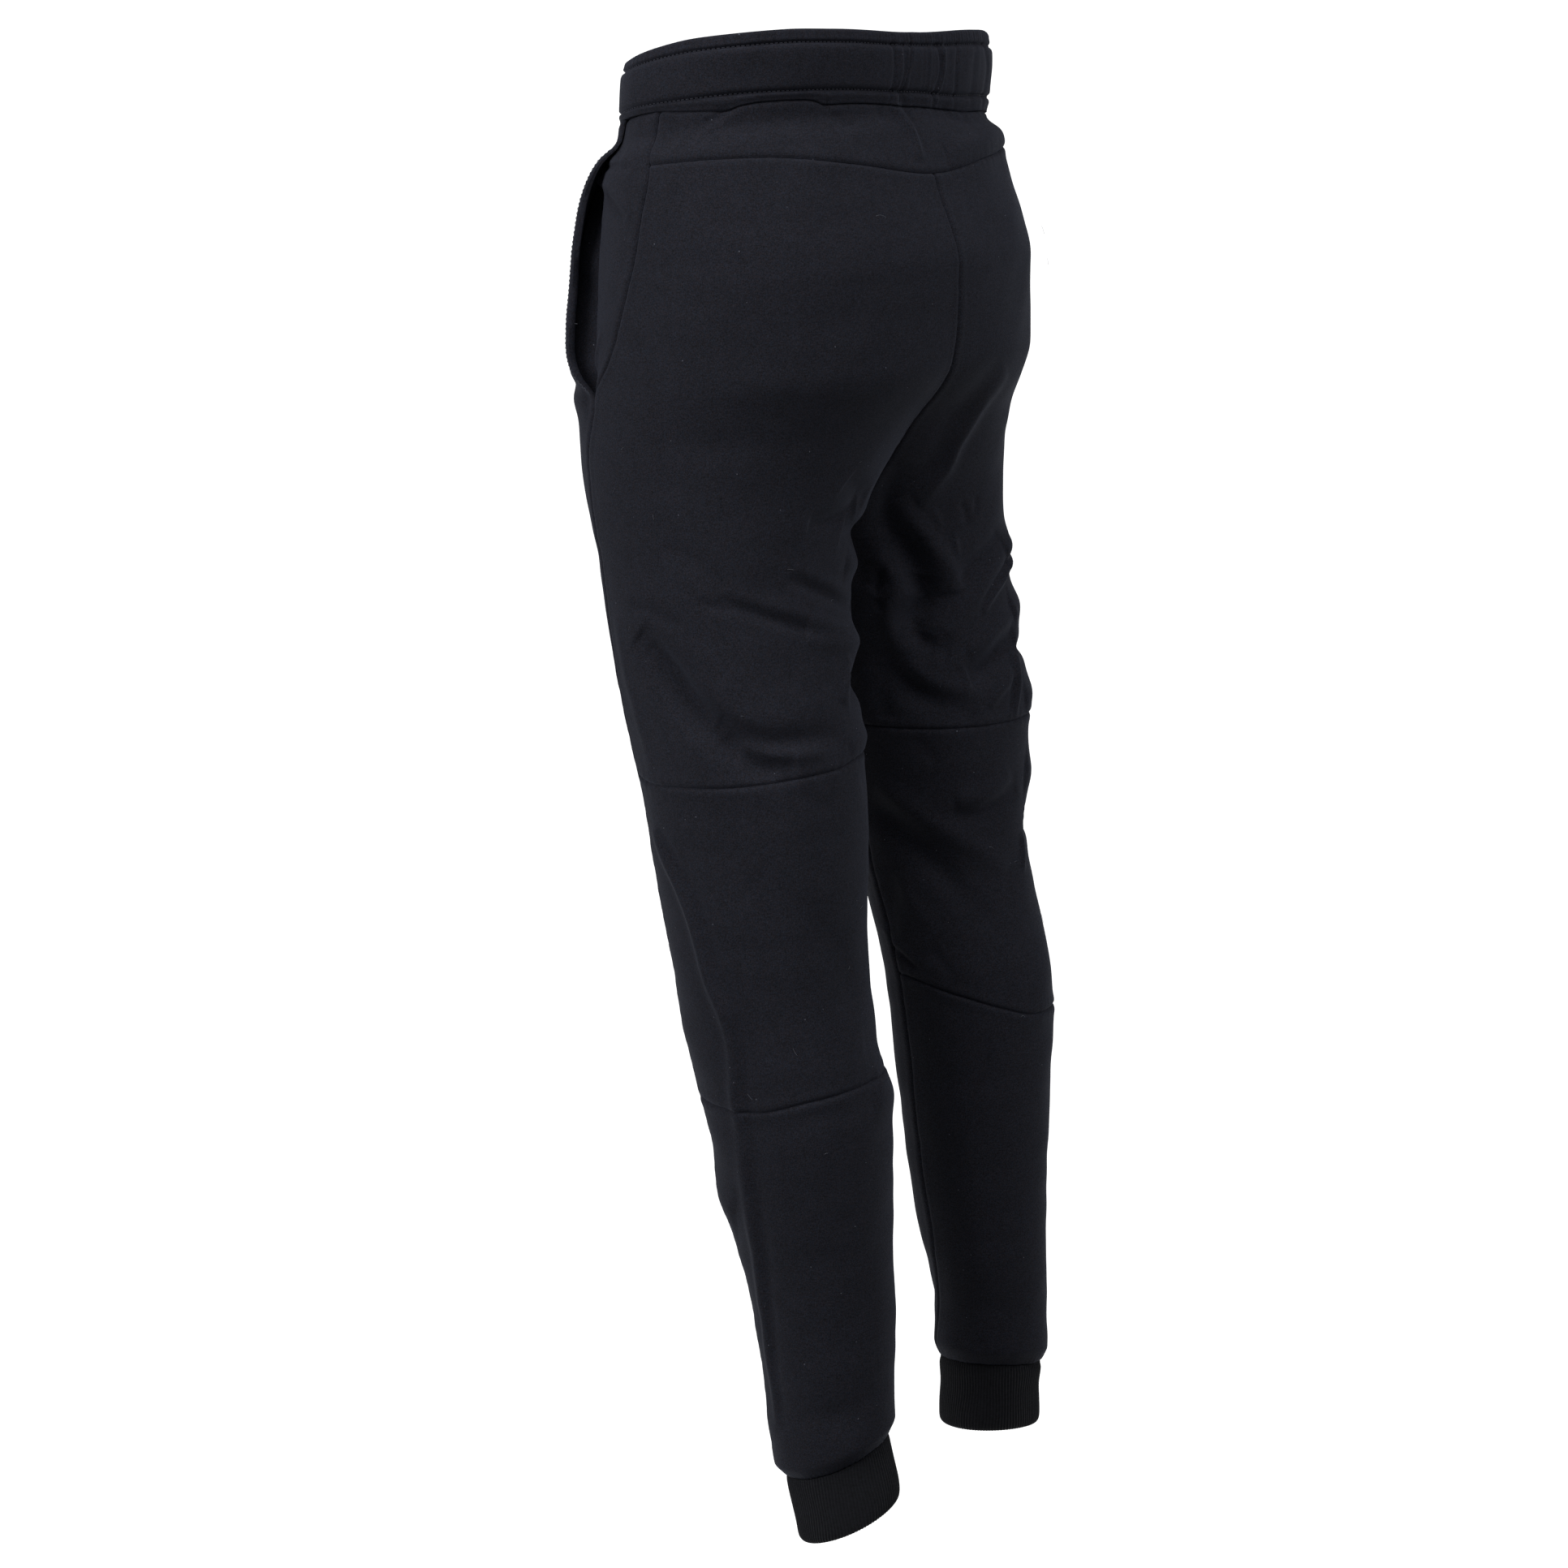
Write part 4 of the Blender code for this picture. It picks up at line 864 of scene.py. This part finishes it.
# The band's upright seam, left of the centre back.
#             share  angle
BAND_SEAM = [(0.00, 80.0),
             (0.25, 82.0),
             (0.65, 85.0),
             (1.00, 87.0)]

# Gathers, with their angles at the seam, half way up and at the top; rise is below zero for a trough.
#            side   seam   half   top    width   rise
GATHERS = [(LEFT, 80.0, 83.0, 82.5, 0.0020, 0.0009),
           (LEFT, 77.0, 79.0, 78.0, 0.0022, 0.0012),
           (LEFT, 74.0, 75.0, 74.0, 0.0026, -0.0014),
           (LEFT, 60.0, 58.0, 61.0, 0.0055, -0.0003),
           (LEFT, 21.0, 23.0, 26.0, 0.0060, -0.0004),
           (LEFT, -34.0, -35.0, -38.0, 0.0060, -0.0009),
           (LEFT, -62.0, -60.0, -61.0, 0.0050, -0.0011),
           (LEFT, -79.0, -80.0, -82.0, 0.0040, -0.0013),
           (RIGHT, 81.0, 80.0, 80.0, 0.0025, 0.0005),
           (RIGHT, 76.0, 72.0, 75.0, 0.0028, -0.0014),
           (RIGHT, 74.0, 70.0, 70.0, 0.0024, 0.0012),
           (RIGHT, 60.0, 61.0, 59.0, 0.0026, -0.0008),
           (RIGHT, 47.0, 48.0, 45.0, 0.0050, -0.0007),
           (RIGHT, 36.0, 33.0, 37.0, 0.0045, -0.0016),
           (RIGHT, 27.0, 26.0, 24.0, 0.0050, 0.0010),
           (RIGHT, 14.0, 15.0, 18.0, 0.0070, -0.0007),
           (RIGHT, -30.0, -32.0, -29.0, 0.0060, -0.0009),
           (RIGHT, -57.0, -58.0, -60.0, 0.0050, -0.0011),
           (RIGHT, -77.0, -75.0, -76.0, 0.0040, -0.0013)]


def band_point(angle, share, side, out):
    """Points of the band at a share of its height, moved out level, and their level directions."""
    bottom = read(WAIST_SEAM[side], 1, np.degrees(angle))
    row = read(LOWER_ROW_LINE[side], 1, np.degrees(angle))
    top = read(WAIST_TOP_EDGE, 1, np.degrees(angle))
    height = np.where(share < LOWER_ROW, bottom + (row - bottom) * share / LOWER_ROW,
                      row + (top - row) * (share - LOWER_ROW) / (1 - LOWER_ROW))
    point, normal = surface(angle, height, side)
    outward = normal.copy()
    outward[..., 2] = 0.0
    outward[np.abs(point[..., 0]) < 1e-9, 0] = 0.0
    outward = outward / np.linalg.norm(outward, axis=-1, keepdims=True)
    return point + outward * out[..., None], outward


def band_relief(angle, share, side):
    """How far the band's outside stands out: puffed, stitched down in two rows, and gathered."""
    radius = float(np.mean(section(0.0)[2:4]))
    puff = BAND_PUFF * (0.15 + 0.85 * ease(share / 0.13)) * (0.65 + 0.35 * np.sin(math.pi * share))
    puff = puff - BAND_LEAN * ease((share - 0.7) / 0.3)
    for row in (LOWER_ROW, UPPER_ROW):
        puff = puff - ROW_DEPTH * np.exp(-((share - row) / ROW_WIDTH)**2)
    gathered = np.zeros(np.shape(angle))
    for gather_side, at_seam, half_way, at_top, width, rise in GATHERS:
        if gather_side == side:
            line = np.radians(read([(0.0, at_seam), (0.5, half_way), (1.0, at_top)], 1, share))
            gathered += rise * np.exp(-((angle - line) * radius / width)**2)
    along = angle * radius * side
    calm = 0.30 + 0.70 * np.exp(-((np.abs(angle * side) - math.pi / 2) / 0.35)**2)
    gathered += 0.00022 * calm * uneven_wave(along, 0.0105, 1.3)
    on_roll = ease((share - UPPER_ROW) / 0.05)
    gathered = gathered * (1 - 0.6 * on_roll) + 0.00036 * on_roll * uneven_wave(along, 0.0041, 0.4)
    relief = puff + gathered * (0.3 + 0.7 * ease(share / 0.15))
    if side == LEFT:
        from_seam = np.abs(angle - np.radians(read(BAND_SEAM, 1, share))) * radius
        relief = relief + seam_relief(from_seam, share, (0.0, 1.0, 1.0, 0.0))
    return relief


half_turn = np.linspace(-math.pi / 2, math.pi / 2, BAND_COLUMNS // 2 + 1)
outside_shares = np.concatenate([np.linspace(0.0, 0.11, 6), np.linspace(0.125, 0.175, 9), np.linspace(0.20, 0.77, 16),
                                 np.linspace(0.79, 0.84, 9), np.linspace(0.852, BAND_TOP_ROLL, 6)])
rings = []
for share in outside_shares:
    ring = []
    for side, order in ((LEFT, half_turn), (RIGHT, half_turn[-2:0:-1])):
        shares = np.full(order.shape, share)
        points, _ = band_point(order, shares, side, band_relief(order, shares, side))
        if share == 0.0:
            points[:, 2] += SEAM_GAP / 2
        ring.append(points)
    rings.append(np.concatenate(ring))
roll = np.linspace(0, math.pi, 11)[1:]
for turn in roll:
    ring = []
    for side, order in ((LEFT, half_turn), (RIGHT, half_turn[-2:0:-1])):
        edge = np.full(order.shape, BAND_TOP_ROLL)
        outside = band_relief(order, edge, side)
        middle = (outside - BAND_WALL) / 2
        half = (outside + BAND_WALL) / 2
        shares = edge + (1 - edge) * math.sin(turn)
        points, _ = band_point(order, shares, side, middle + half * math.cos(turn))
        ring.append(points)
    rings.append(np.concatenate(ring))
for share in np.linspace(BAND_TOP_ROLL, 0.0, 14)[1:]:
    ring = []
    for side, order in ((LEFT, half_turn), (RIGHT, half_turn[-2:0:-1])):
        shares = np.full(order.shape, share)
        along = order * 0.12 * side
        wave = 0.0004 * uneven_wave(along, 0.011, 1.9) * math.sin(math.pi * share)
        points, _ = band_point(order, shares, side, wave - BAND_WALL)
        ring.append(points)
    rings.append(np.concatenate(ring))


def cloth_tube(name, rings, material):
    """Close a tube of cloth: rings in order down or up its outside and back along its inside."""
    rings = np.array(rings)
    count = rings.shape[1]
    index = np.arange(rings.shape[0] * count).reshape(rings.shape[:2])
    below = np.roll(index, -1, axis=0)
    faces = np.stack([index, np.roll(index, -1, axis=1), np.roll(below, -1, axis=1), below], axis=-1).reshape(-1, 4)
    points = rings.reshape(-1, 3)
    corners = points[faces]
    volume = np.einsum("ij,ij->i", corners[:, 0], np.cross(corners[:, 1], corners[:, 2])).sum()
    volume += np.einsum("ij,ij->i", corners[:, 0], np.cross(corners[:, 2], corners[:, 3])).sum()
    if volume < 0:
        faces = faces[:, ::-1]
    mesh = bpy.data.meshes.new(name)
    mesh.from_pydata(points.tolist(), [], faces.tolist())
    mesh.shade_smooth()
    mesh.materials.append(material)
    piece = bpy.data.objects.new(name, mesh)
    bpy.context.scene.collection.objects.link(piece)
    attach(piece, "root")
    return piece


waistband = cloth_tube("fleece_waistband", rings, fleece)
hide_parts("waistband")

# Cuffs
# Tubes of rib knit, folded double at the bottom and sewn inside the hem of each leg, which is
# wider and rolls over them. The ribs run down the leg; the knit is darker than the fleece.
CUFF_WALL = 0.0024        # doubled rib, at the bottom of a rib's valley
CUFF_BOTTOM = {LEFT: -0.980, RIGHT: -0.972}
CUFF_RIBS = 104
POINTS_A_RIB = 6
RIB_HEIGHT = 0.0007
CUFF_FOLD_AT = 0.93       # share of its way down where the cuff starts to fold back up
CUFF_RINGS = {"outside": 30, "fold": 7, "inside": 10}
CUFF_ALLOWANCE = 0.004    # seam allowance, turned up inside the leg
CUFF_ALLOWANCE_SLACK = 0.0003
# How far the cuff stands out, in walls, at shares of its way down.
#              share   left   right
CUFF_PROFILE = [(0.00, -0.25, -0.25),
                (0.10, 0.05, 0.10),
                (0.35, 0.15, -0.10),
                (0.60, 0.20, 0.10),
                (0.85, 0.15, 0.30),
                (0.95, -0.05, 0.10),
                (1.00, -0.30, -0.20)]


def rib_knit():
    """Cotton rib knit: columns of stitches raised in ribs.

    It gives the eye a nearly black cloth, matt in the valleys, with fine stitches along each rib.
    """
    material = bpy.data.materials.new("cotton rib knit, near black")
    material.use_nodes = True
    tree = material.node_tree
    shader = tree.nodes["Principled BSDF"]
    place = add_node(tree, "ShaderNodeTexCoord", {}).outputs["Object"]
    # fluff of the yarn, 0.7 mm, and stitches as level bands 1.3 mm tall
    fluff = add_node(tree, "ShaderNodeTexNoise", {"Vector": place, "Scale": 1 / 0.0007, "Detail": 2.0}).outputs["Fac"]
    stitch_place = add_node(tree, "ShaderNodeMapping", {"Vector": place, "Scale": (0.3, 0.3, 1.0)}).outputs["Vector"]
    stitches = add_node(tree, "ShaderNodeTexNoise", {"Vector": stitch_place, "Scale": 1 / 0.0013}).outputs["Fac"]
    grain = add_node(tree, "ShaderNodeMath", {0: fluff, 1: 0.6}, operation="MULTIPLY").outputs[0]
    grain = add_node(tree, "ShaderNodeMath", {0: stitches, 1: 0.4, 2: grain}, operation="MULTIPLY_ADD").outputs[0]
    share = add_node(tree, "ShaderNodeMapRange",
                     {"Value": grain, "From Min": 0.35, "From Max": 0.65}).outputs["Result"]
    colour = add_node(tree, "ShaderNodeMix", {0: share, 6: linear("0e0f12"), 7: linear("1c1d23")}, data_type="RGBA")
    tree.links.new(colour.outputs[2], shader.inputs["Base Color"])
    bump = add_node(tree, "ShaderNodeBump", {"Height": grain, "Strength": 0.5, "Distance": 0.0004})
    tree.links.new(bump.outputs["Normal"], shader.inputs["Normal"])
    shader.inputs["Roughness"].default_value = 0.9
    shader.inputs["Specular IOR Level"].default_value = 0.2
    shader.inputs["Sheen Weight"].default_value = 0.08
    shader.inputs["Sheen Roughness"].default_value = 0.5
    return material


def cuff_ring(turn, height, side, offset):
    """Points round a cuff at one height, moved straight out from the leg's form."""
    point, normal = surface(turn, np.full(turn.shape, height), side)
    normal[:, 2] = 0.0
    return point + normal / np.linalg.norm(normal, axis=-1, keepdims=True) * np.reshape(offset, (-1, 1))


rib = rib_knit()
turn_under = np.linspace(0, math.pi, CUFF_RINGS["fold"] + 2)[1:-1]
down = np.concatenate([np.linspace(0.0, CUFF_FOLD_AT, CUFF_RINGS["outside"]),
                       CUFF_FOLD_AT + (1 - CUFF_FOLD_AT) * np.sin(turn_under),
                       np.linspace(CUFF_FOLD_AT, 0.0, CUFF_RINGS["inside"])])
around = np.concatenate([np.zeros(CUFF_RINGS["outside"]), turn_under, np.full(CUFF_RINGS["inside"], math.pi)])
turn = np.linspace(0, 2 * math.pi, CUFF_RIBS * POINTS_A_RIB, endpoint=False)

for side in (LEFT, RIGHT):
    column = 1 if side == LEFT else 2
    top = HEM_HEIGHT[side] - SEAM_GAP / 2
    bottom = CUFF_BOTTOM[side]
    rings = []
    for share, fold in zip(down, around):
        wander = 0.010 * np.sin(3 * turn + 5 * share) + 0.006 * np.sin(7 * turn - 9 * share)
        outside = CUFF_WALL * float(read(CUFF_PROFILE, column, share))
        raised = RIB_HEIGHT * (0.5 - 0.5 * np.cos(turn * CUFF_RIBS))**0.8
        ribs = raised * max(0.0, math.cos(fold / 2))
        middle = outside - CUFF_WALL / 2
        offset = middle + CUFF_WALL / 2 * math.cos(fold) + ribs
        rings.append(cuff_ring(turn + wander, top + (bottom - top) * share, side, offset))
    leg_inside = WALL + CUFF_ALLOWANCE_SLACK
    for height, depth in ((top + CUFF_ALLOWANCE, leg_inside + CUFF_WALL / 3), (top + CUFF_ALLOWANCE, leg_inside),
                          (top, leg_inside)):
        rings.append(cuff_ring(turn, height, side, -depth))
    name = f"cuff_{SIDE_NAMES[side]}"
    piece = cloth_tube(f"rib_{name}", rings, rib)
    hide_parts(name)

# Topstitching
# Polyester thread of the fleece's own colour in plain lockstitch, 3.2 mm a stitch, drawn down into
# the cloth at each needle hole, where a flat dark disc is painted shade: two rows round the waistband and two down
# each pocket mouth.
STITCH = 0.0032
STITCH_LENGTH = 0.0025
THREAD = 0.00024          # half its thickness
HOLE_SHADE_RADIUS = 0.00055     # half the width of the flat dark disc of painted shade at each needle hole


def spun_thread():
    """Spun polyester sewing thread, dyed to match: slightly glossier than the fleece round it."""
    material = bpy.data.materials.new("spun polyester thread, dark navy")
    material.use_nodes = True
    tree = material.node_tree
    shader = tree.nodes["Principled BSDF"]
    place = add_node(tree, "ShaderNodeTexCoord", {}).outputs["Object"]
    # twist of the plies, 0.4 mm
    twist = add_node(tree, "ShaderNodeTexNoise", {"Vector": place, "Scale": 1 / 0.0004}).outputs["Fac"]
    colour = add_node(tree, "ShaderNodeMix", {0: twist, 6: linear("20212a"), 7: linear("40424e")}, data_type="RGBA")
    tree.links.new(colour.outputs[2], shader.inputs["Base Color"])
    shader.inputs["Roughness"].default_value = 0.55
    return material


def painted_needle_hole_shade():
    """Painted shade at a needle hole: a flat, nearly black disc laid on the cloth, standing in for the shadow in the
    dimple.
    """
    material = bpy.data.materials.new("painted shade at a needle hole")
    material.use_nodes = True
    tree = material.node_tree
    shader = tree.nodes["Principled BSDF"]
    place = add_node(tree, "ShaderNodeTexCoord", {}).outputs["Object"]
    # fibres, 0.3 mm
    fibres = add_node(tree, "ShaderNodeTexNoise", {"Vector": place, "Scale": 1 / 0.0003}).outputs["Fac"]
    colour = add_node(tree, "ShaderNodeMix", {0: fibres, 6: linear("020203"), 7: linear("08080a")}, data_type="RGBA")
    tree.links.new(colour.outputs[2], shader.inputs["Base Color"])
    shader.inputs["Roughness"].default_value = 1.0
    shader.inputs["Specular IOR Level"].default_value = 0.0
    return material


def stitch_row(points, outward):
    """Vertices, faces and materials (0 thread, 1 painted shade at the needle holes) of a row of stitches along a line
    of points.
    """
    step = np.linalg.norm(np.diff(points, axis=0), axis=1)
    along = np.concatenate([[0.0], np.cumsum(step)])
    count = int(along[-1] / STITCH)
    sides = 6
    rings = 4
    vertices = []
    faces = []
    materials = []

    def frame_at(at):
        """Place, direction ahead, direction across and outward direction at a length along the row."""
        place = np.array([np.interp(at, along, points[:, k]) for k in range(3)])
        ahead = np.array([np.interp(at + 0.0005, along, points[:, k]) for k in range(3)]) - place
        up = np.array([np.interp(at, along, outward[:, k]) for k in range(3)])
        ahead = ahead / max(np.linalg.norm(ahead), 1e-9)
        up = up - ahead * np.dot(up, ahead)
        up = up / np.linalg.norm(up)
        return place, ahead, np.cross(ahead, up), up

    for number in range(count):
        middle = (number + 0.5) * along[-1] / count
        base = len(vertices)
        for ring in range(rings):
            share = ring / (rings - 1)
            place, ahead, across, up = frame_at(middle + (share - 0.5) * STITCH_LENGTH)
            bow = math.sin(math.pi * share)
            centre = place + up * (0.0005 * bow - 0.0002)
            for corner in range(sides):
                turn = 2 * math.pi * corner / sides
                radius = THREAD * (0.55 + 0.45 * bow)
                vertices.append(centre + (across * math.cos(turn) + up * math.sin(turn)) * radius)
        for ring in range(rings - 1):
            for corner in range(sides):
                following = (corner + 1) % sides
                a = base + ring * sides
                faces.append((a + corner, a + following, a + sides + following, a + sides + corner))
        faces.append(tuple(base + corner for corner in range(sides - 1, -1, -1)))
        last = base + (rings - 1) * sides
        faces.append(tuple(last + corner for corner in range(sides)))
        materials += [0] * (sides * (rings - 1) + 2)
        # a flat, nearly black disc at each needle hole: painted shade, not a real dimple
        place, ahead, across, up = frame_at(middle + along[-1] / count / 2)
        base = len(vertices)
        for corner in range(sides):
            turn = 2 * math.pi * corner / sides
            spread_out = ahead * math.cos(turn) * 0.8 + across * math.sin(turn)
            vertices.append(place + up * 0.00008 + spread_out * HOLE_SHADE_RADIUS)
        faces.append(tuple(base + corner for corner in range(sides - 1, -1, -1)))
        materials.append(1)
    return vertices, faces, materials


def stitching(name, rows, materials):
    """Join rows of stitches into one piece."""
    vertices = []
    faces = []
    face_materials = []
    for points, outward in rows:
        row_vertices, row_faces, row_materials = stitch_row(points, outward)
        base = len(vertices)
        vertices += row_vertices
        faces += [tuple(base + corner for corner in face) for face in row_faces]
        face_materials += row_materials
    mesh = bpy.data.meshes.new(name)
    mesh.from_pydata([tuple(v) for v in vertices], [], faces)
    mesh.shade_smooth()
    for material in materials:
        mesh.materials.append(material)
    mesh.polygons.foreach_set("material_index", face_materials)
    piece = bpy.data.objects.new(name, mesh)
    bpy.context.scene.collection.objects.link(piece)
    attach(piece, "root")
    return piece


stitch_materials = (spun_thread(), painted_needle_hole_shade())
band_rows = []
for share in (LOWER_ROW, UPPER_ROW):
    points = []
    outward = []
    for side, order in ((LEFT, half_turn), (RIGHT, half_turn[-2::-1])):
        shares = np.full(order.shape, share)
        point, direction = band_point(order, shares, side, band_relief(order, shares, side) + 0.0001)
        points.append(point)
        outward.append(direction)
    band_rows.append((np.concatenate(points), np.concatenate(outward)))
stitching("topstitching_waistband", band_rows, stitch_materials)

for side in (LEFT, RIGHT):
    mouth_rows = []
    for inside_edge in (0.0026, 0.0075):
        height = np.linspace(-0.034, -0.200, 160)
        angle = np.radians(read(POCKET_MOUTH, 1, height)) - inside_edge / 0.155
        points, normals = surface(angle, height, side, pocket_lift(angle, height))
        mouth_rows.append((points + normals * 0.0001, normals))
    stitching(f"topstitching_pocket_{SIDE_NAMES[side]}", mouth_rows, stitch_materials)

# Lint
# Loose pale cotton fibres that cling to the nap all over, each bent and lying flat on it.
LINT_COUNT = 44
LINT_THICKNESS = 0.00011  # half of it


def cotton_lint():
    """Undyed cotton fibre: pale grey and matt, so thin that it only just shows."""
    material = bpy.data.materials.new("cotton lint, pale grey")
    material.use_nodes = True
    tree = material.node_tree
    shader = tree.nodes["Principled BSDF"]
    place = add_node(tree, "ShaderNodeTexCoord", {}).outputs["Object"]
    # thick and thin parts of the fibre, 2 mm
    uneven = add_node(tree, "ShaderNodeTexNoise", {"Vector": place, "Scale": 1 / 0.002}).outputs["Fac"]
    colour = add_node(tree, "ShaderNodeMix", {0: uneven, 6: linear("3a3c44"), 7: linear("74767f")}, data_type="RGBA")
    tree.links.new(colour.outputs[2], shader.inputs["Base Color"])
    shader.inputs["Roughness"].default_value = 0.9
    return material


random = np.random.default_rng(21)
lint_vertices = []
lint_faces = []
for number in range(LINT_COUNT):
    side = LEFT if number % 2 else RIGHT
    start_angle = random.uniform(-1.4, 1.9)
    start_height = random.uniform(-0.88, -0.09)
    heading = random.uniform(0, math.pi)
    bend = random.normal() * 180.0
    length = random.uniform(0.0025, 0.0070)
    along = np.linspace(0, length, 7)
    turned = heading + bend * along
    step_angle = np.cos(turned) * along[1] / 0.10
    step_height = np.sin(turned) * along[1]
    angle = start_angle + np.cumsum(step_angle)
    height = start_height + np.cumsum(step_height)
    points, normals = surface(angle, height, side, pocket_lift(angle, height))
    points = points + normals * 0.0003
    forward = np.gradient(points, axis=0)
    forward = forward / np.linalg.norm(forward, axis=1, keepdims=True)
    beside = np.cross(forward, normals)
    base = len(lint_vertices)
    for point, out, over in zip(points, normals, beside):
        for corner in range(4):
            turn = math.pi / 2 * corner
            lint_vertices.append(tuple(point + (out * math.sin(turn) + over * math.cos(turn)) * LINT_THICKNESS))
    for ring in range(len(points) - 1):
        for corner in range(4):
            following = (corner + 1) % 4
            a = base + 4 * ring
            lint_faces.append((a + corner, a + following, a + 4 + following, a + 4 + corner))
    lint_faces.append((base + 3, base + 2, base + 1, base))
    end = base + 4 * (len(points) - 1)
    lint_faces.append((end, end + 1, end + 2, end + 3))
lint_mesh = bpy.data.meshes.new("lint")
lint_mesh.from_pydata(lint_vertices, [], lint_faces)
lint_mesh.materials.append(cotton_lint())
lint = bpy.data.objects.new("lint", lint_mesh)
bpy.context.scene.collection.objects.link(lint)
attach(lint, "root")

# Floor
# Plain pale studio floor that curves up into a backdrop, well clear of the garment.
FLOOR_HEIGHT = -1.70


def studio_paper():
    """Seamless background paper: bright, even and matt."""
    material = bpy.data.materials.new("seamless background paper, white")
    material.use_nodes = True
    tree = material.node_tree
    shader = tree.nodes["Principled BSDF"]
    place = add_node(tree, "ShaderNodeTexCoord", {}).outputs["Object"]
    # paper fibre, 3 mm
    fibre = add_node(tree, "ShaderNodeTexNoise", {"Vector": place, "Scale": 1 / 0.003}).outputs["Fac"]
    colour = add_node(tree, "ShaderNodeMix", {0: fibre, 6: linear("f7f7f7"), 7: linear("ffffff")}, data_type="RGBA")
    tree.links.new(colour.outputs[2], shader.inputs["Base Color"])
    shader.inputs["Roughness"].default_value = 0.9
    shader.inputs["Emission Color"].default_value = (1.0, 1.0, 1.0, 1.0)
    shader.inputs["Emission Strength"].default_value = 0.9
    return material


sweep = [(-0.2, 0.0), (2.6, 0.0)]
for step in range(1, 13):
    turn = math.radians(90 * step / 12)
    sweep.append((2.6 + 1.4 * math.sin(turn), 1.4 * (1 - math.cos(turn))))
sweep.append((4.0, 2.4))
camera_azimuth = math.radians(128.0)
away = Vector((-math.sin(camera_azimuth), math.cos(camera_azimuth), 0.0))
across = Vector((math.cos(camera_azimuth), math.sin(camera_azimuth), 0.0))
paper_points = []
for forward, up in sweep:
    for sideways in (-2.4, 2.4):
        paper_points.append(away * forward + across * sideways + Vector((0.0, 0.0, FLOOR_HEIGHT + up)))
paper_faces = [(2 * i, 2 * i + 1, 2 * i + 3, 2 * i + 2) for i in range(len(sweep) - 1)]
paper_mesh = bpy.data.meshes.new("studio_floor")
paper_mesh.from_pydata([tuple(p) for p in paper_points], [], paper_faces)
paper_mesh.shade_smooth()
paper_mesh.materials.append(studio_paper())
floor = bpy.data.objects.new("studio_floor", paper_mesh)
bpy.context.scene.collection.objects.link(floor)
floor.visible_diffuse = False   # it lights only itself, not the garment

# Camera
# Level with the seat, behind the wearer's left side.
TARGET = Vector((0.0117, -0.0150, -0.488))
DISTANCE = 2.75
ELEVATION = math.radians(12.5)
direction = Vector((math.sin(camera_azimuth) * math.cos(ELEVATION), -math.cos(camera_azimuth) * math.cos(ELEVATION),
                    math.sin(ELEVATION)))
camera_data = bpy.data.cameras.new("camera")
camera_data.sensor_fit = "HORIZONTAL"
camera_data.sensor_width = 36.0
camera_data.lens = 89.44
camera = bpy.data.objects.new("camera", camera_data)
camera.location = TARGET + direction * DISTANCE
camera.rotation_euler = (-direction).to_track_quat("-Z", "Y").to_euler()
bpy.context.scene.collection.objects.link(camera)
bpy.context.scene.camera = camera

# Light
# Large round softboxes: the key on the camera's left, a weaker one high on its right, and one
# overhead, in a dim pale room.
#             name, azimuth, elevation, distance, size, power
SOFTBOXES = [("key", 76.0, 27.0, 2.8, 1.9, 46.0),
             ("fill", 183.0, 48.0, 2.8, 1.6, 24.0),
             ("overhead", 122.0, 70.0, 2.7, 1.6, 18.0)]
for name, azimuth, elevation, distance, size, power in SOFTBOXES:
    a = math.radians(azimuth)
    e = math.radians(elevation)
    toward = Vector((math.sin(a) * math.cos(e), -math.cos(a) * math.cos(e), math.sin(e)))
    light_data = bpy.data.lights.new(name, "AREA")
    light_data.shape = "DISK"
    light_data.size = size
    light_data.energy = power
    light = bpy.data.objects.new(name, light_data)
    light.location = Vector((0.0, 0.03, -0.45)) + toward * distance
    light.rotation_euler = (-toward).to_track_quat("-Z", "Y").to_euler()
    bpy.context.scene.collection.objects.link(light)

room = bpy.data.worlds.new("pale room")
room.use_nodes = True
room.node_tree.nodes["Background"].inputs["Color"].default_value = (0.95, 0.97, 1.0, 1.0)
room.node_tree.nodes["Background"].inputs["Strength"].default_value = 0.15
bpy.context.scene.world = room
bpy.context.scene.view_settings.view_transform = "Standard"
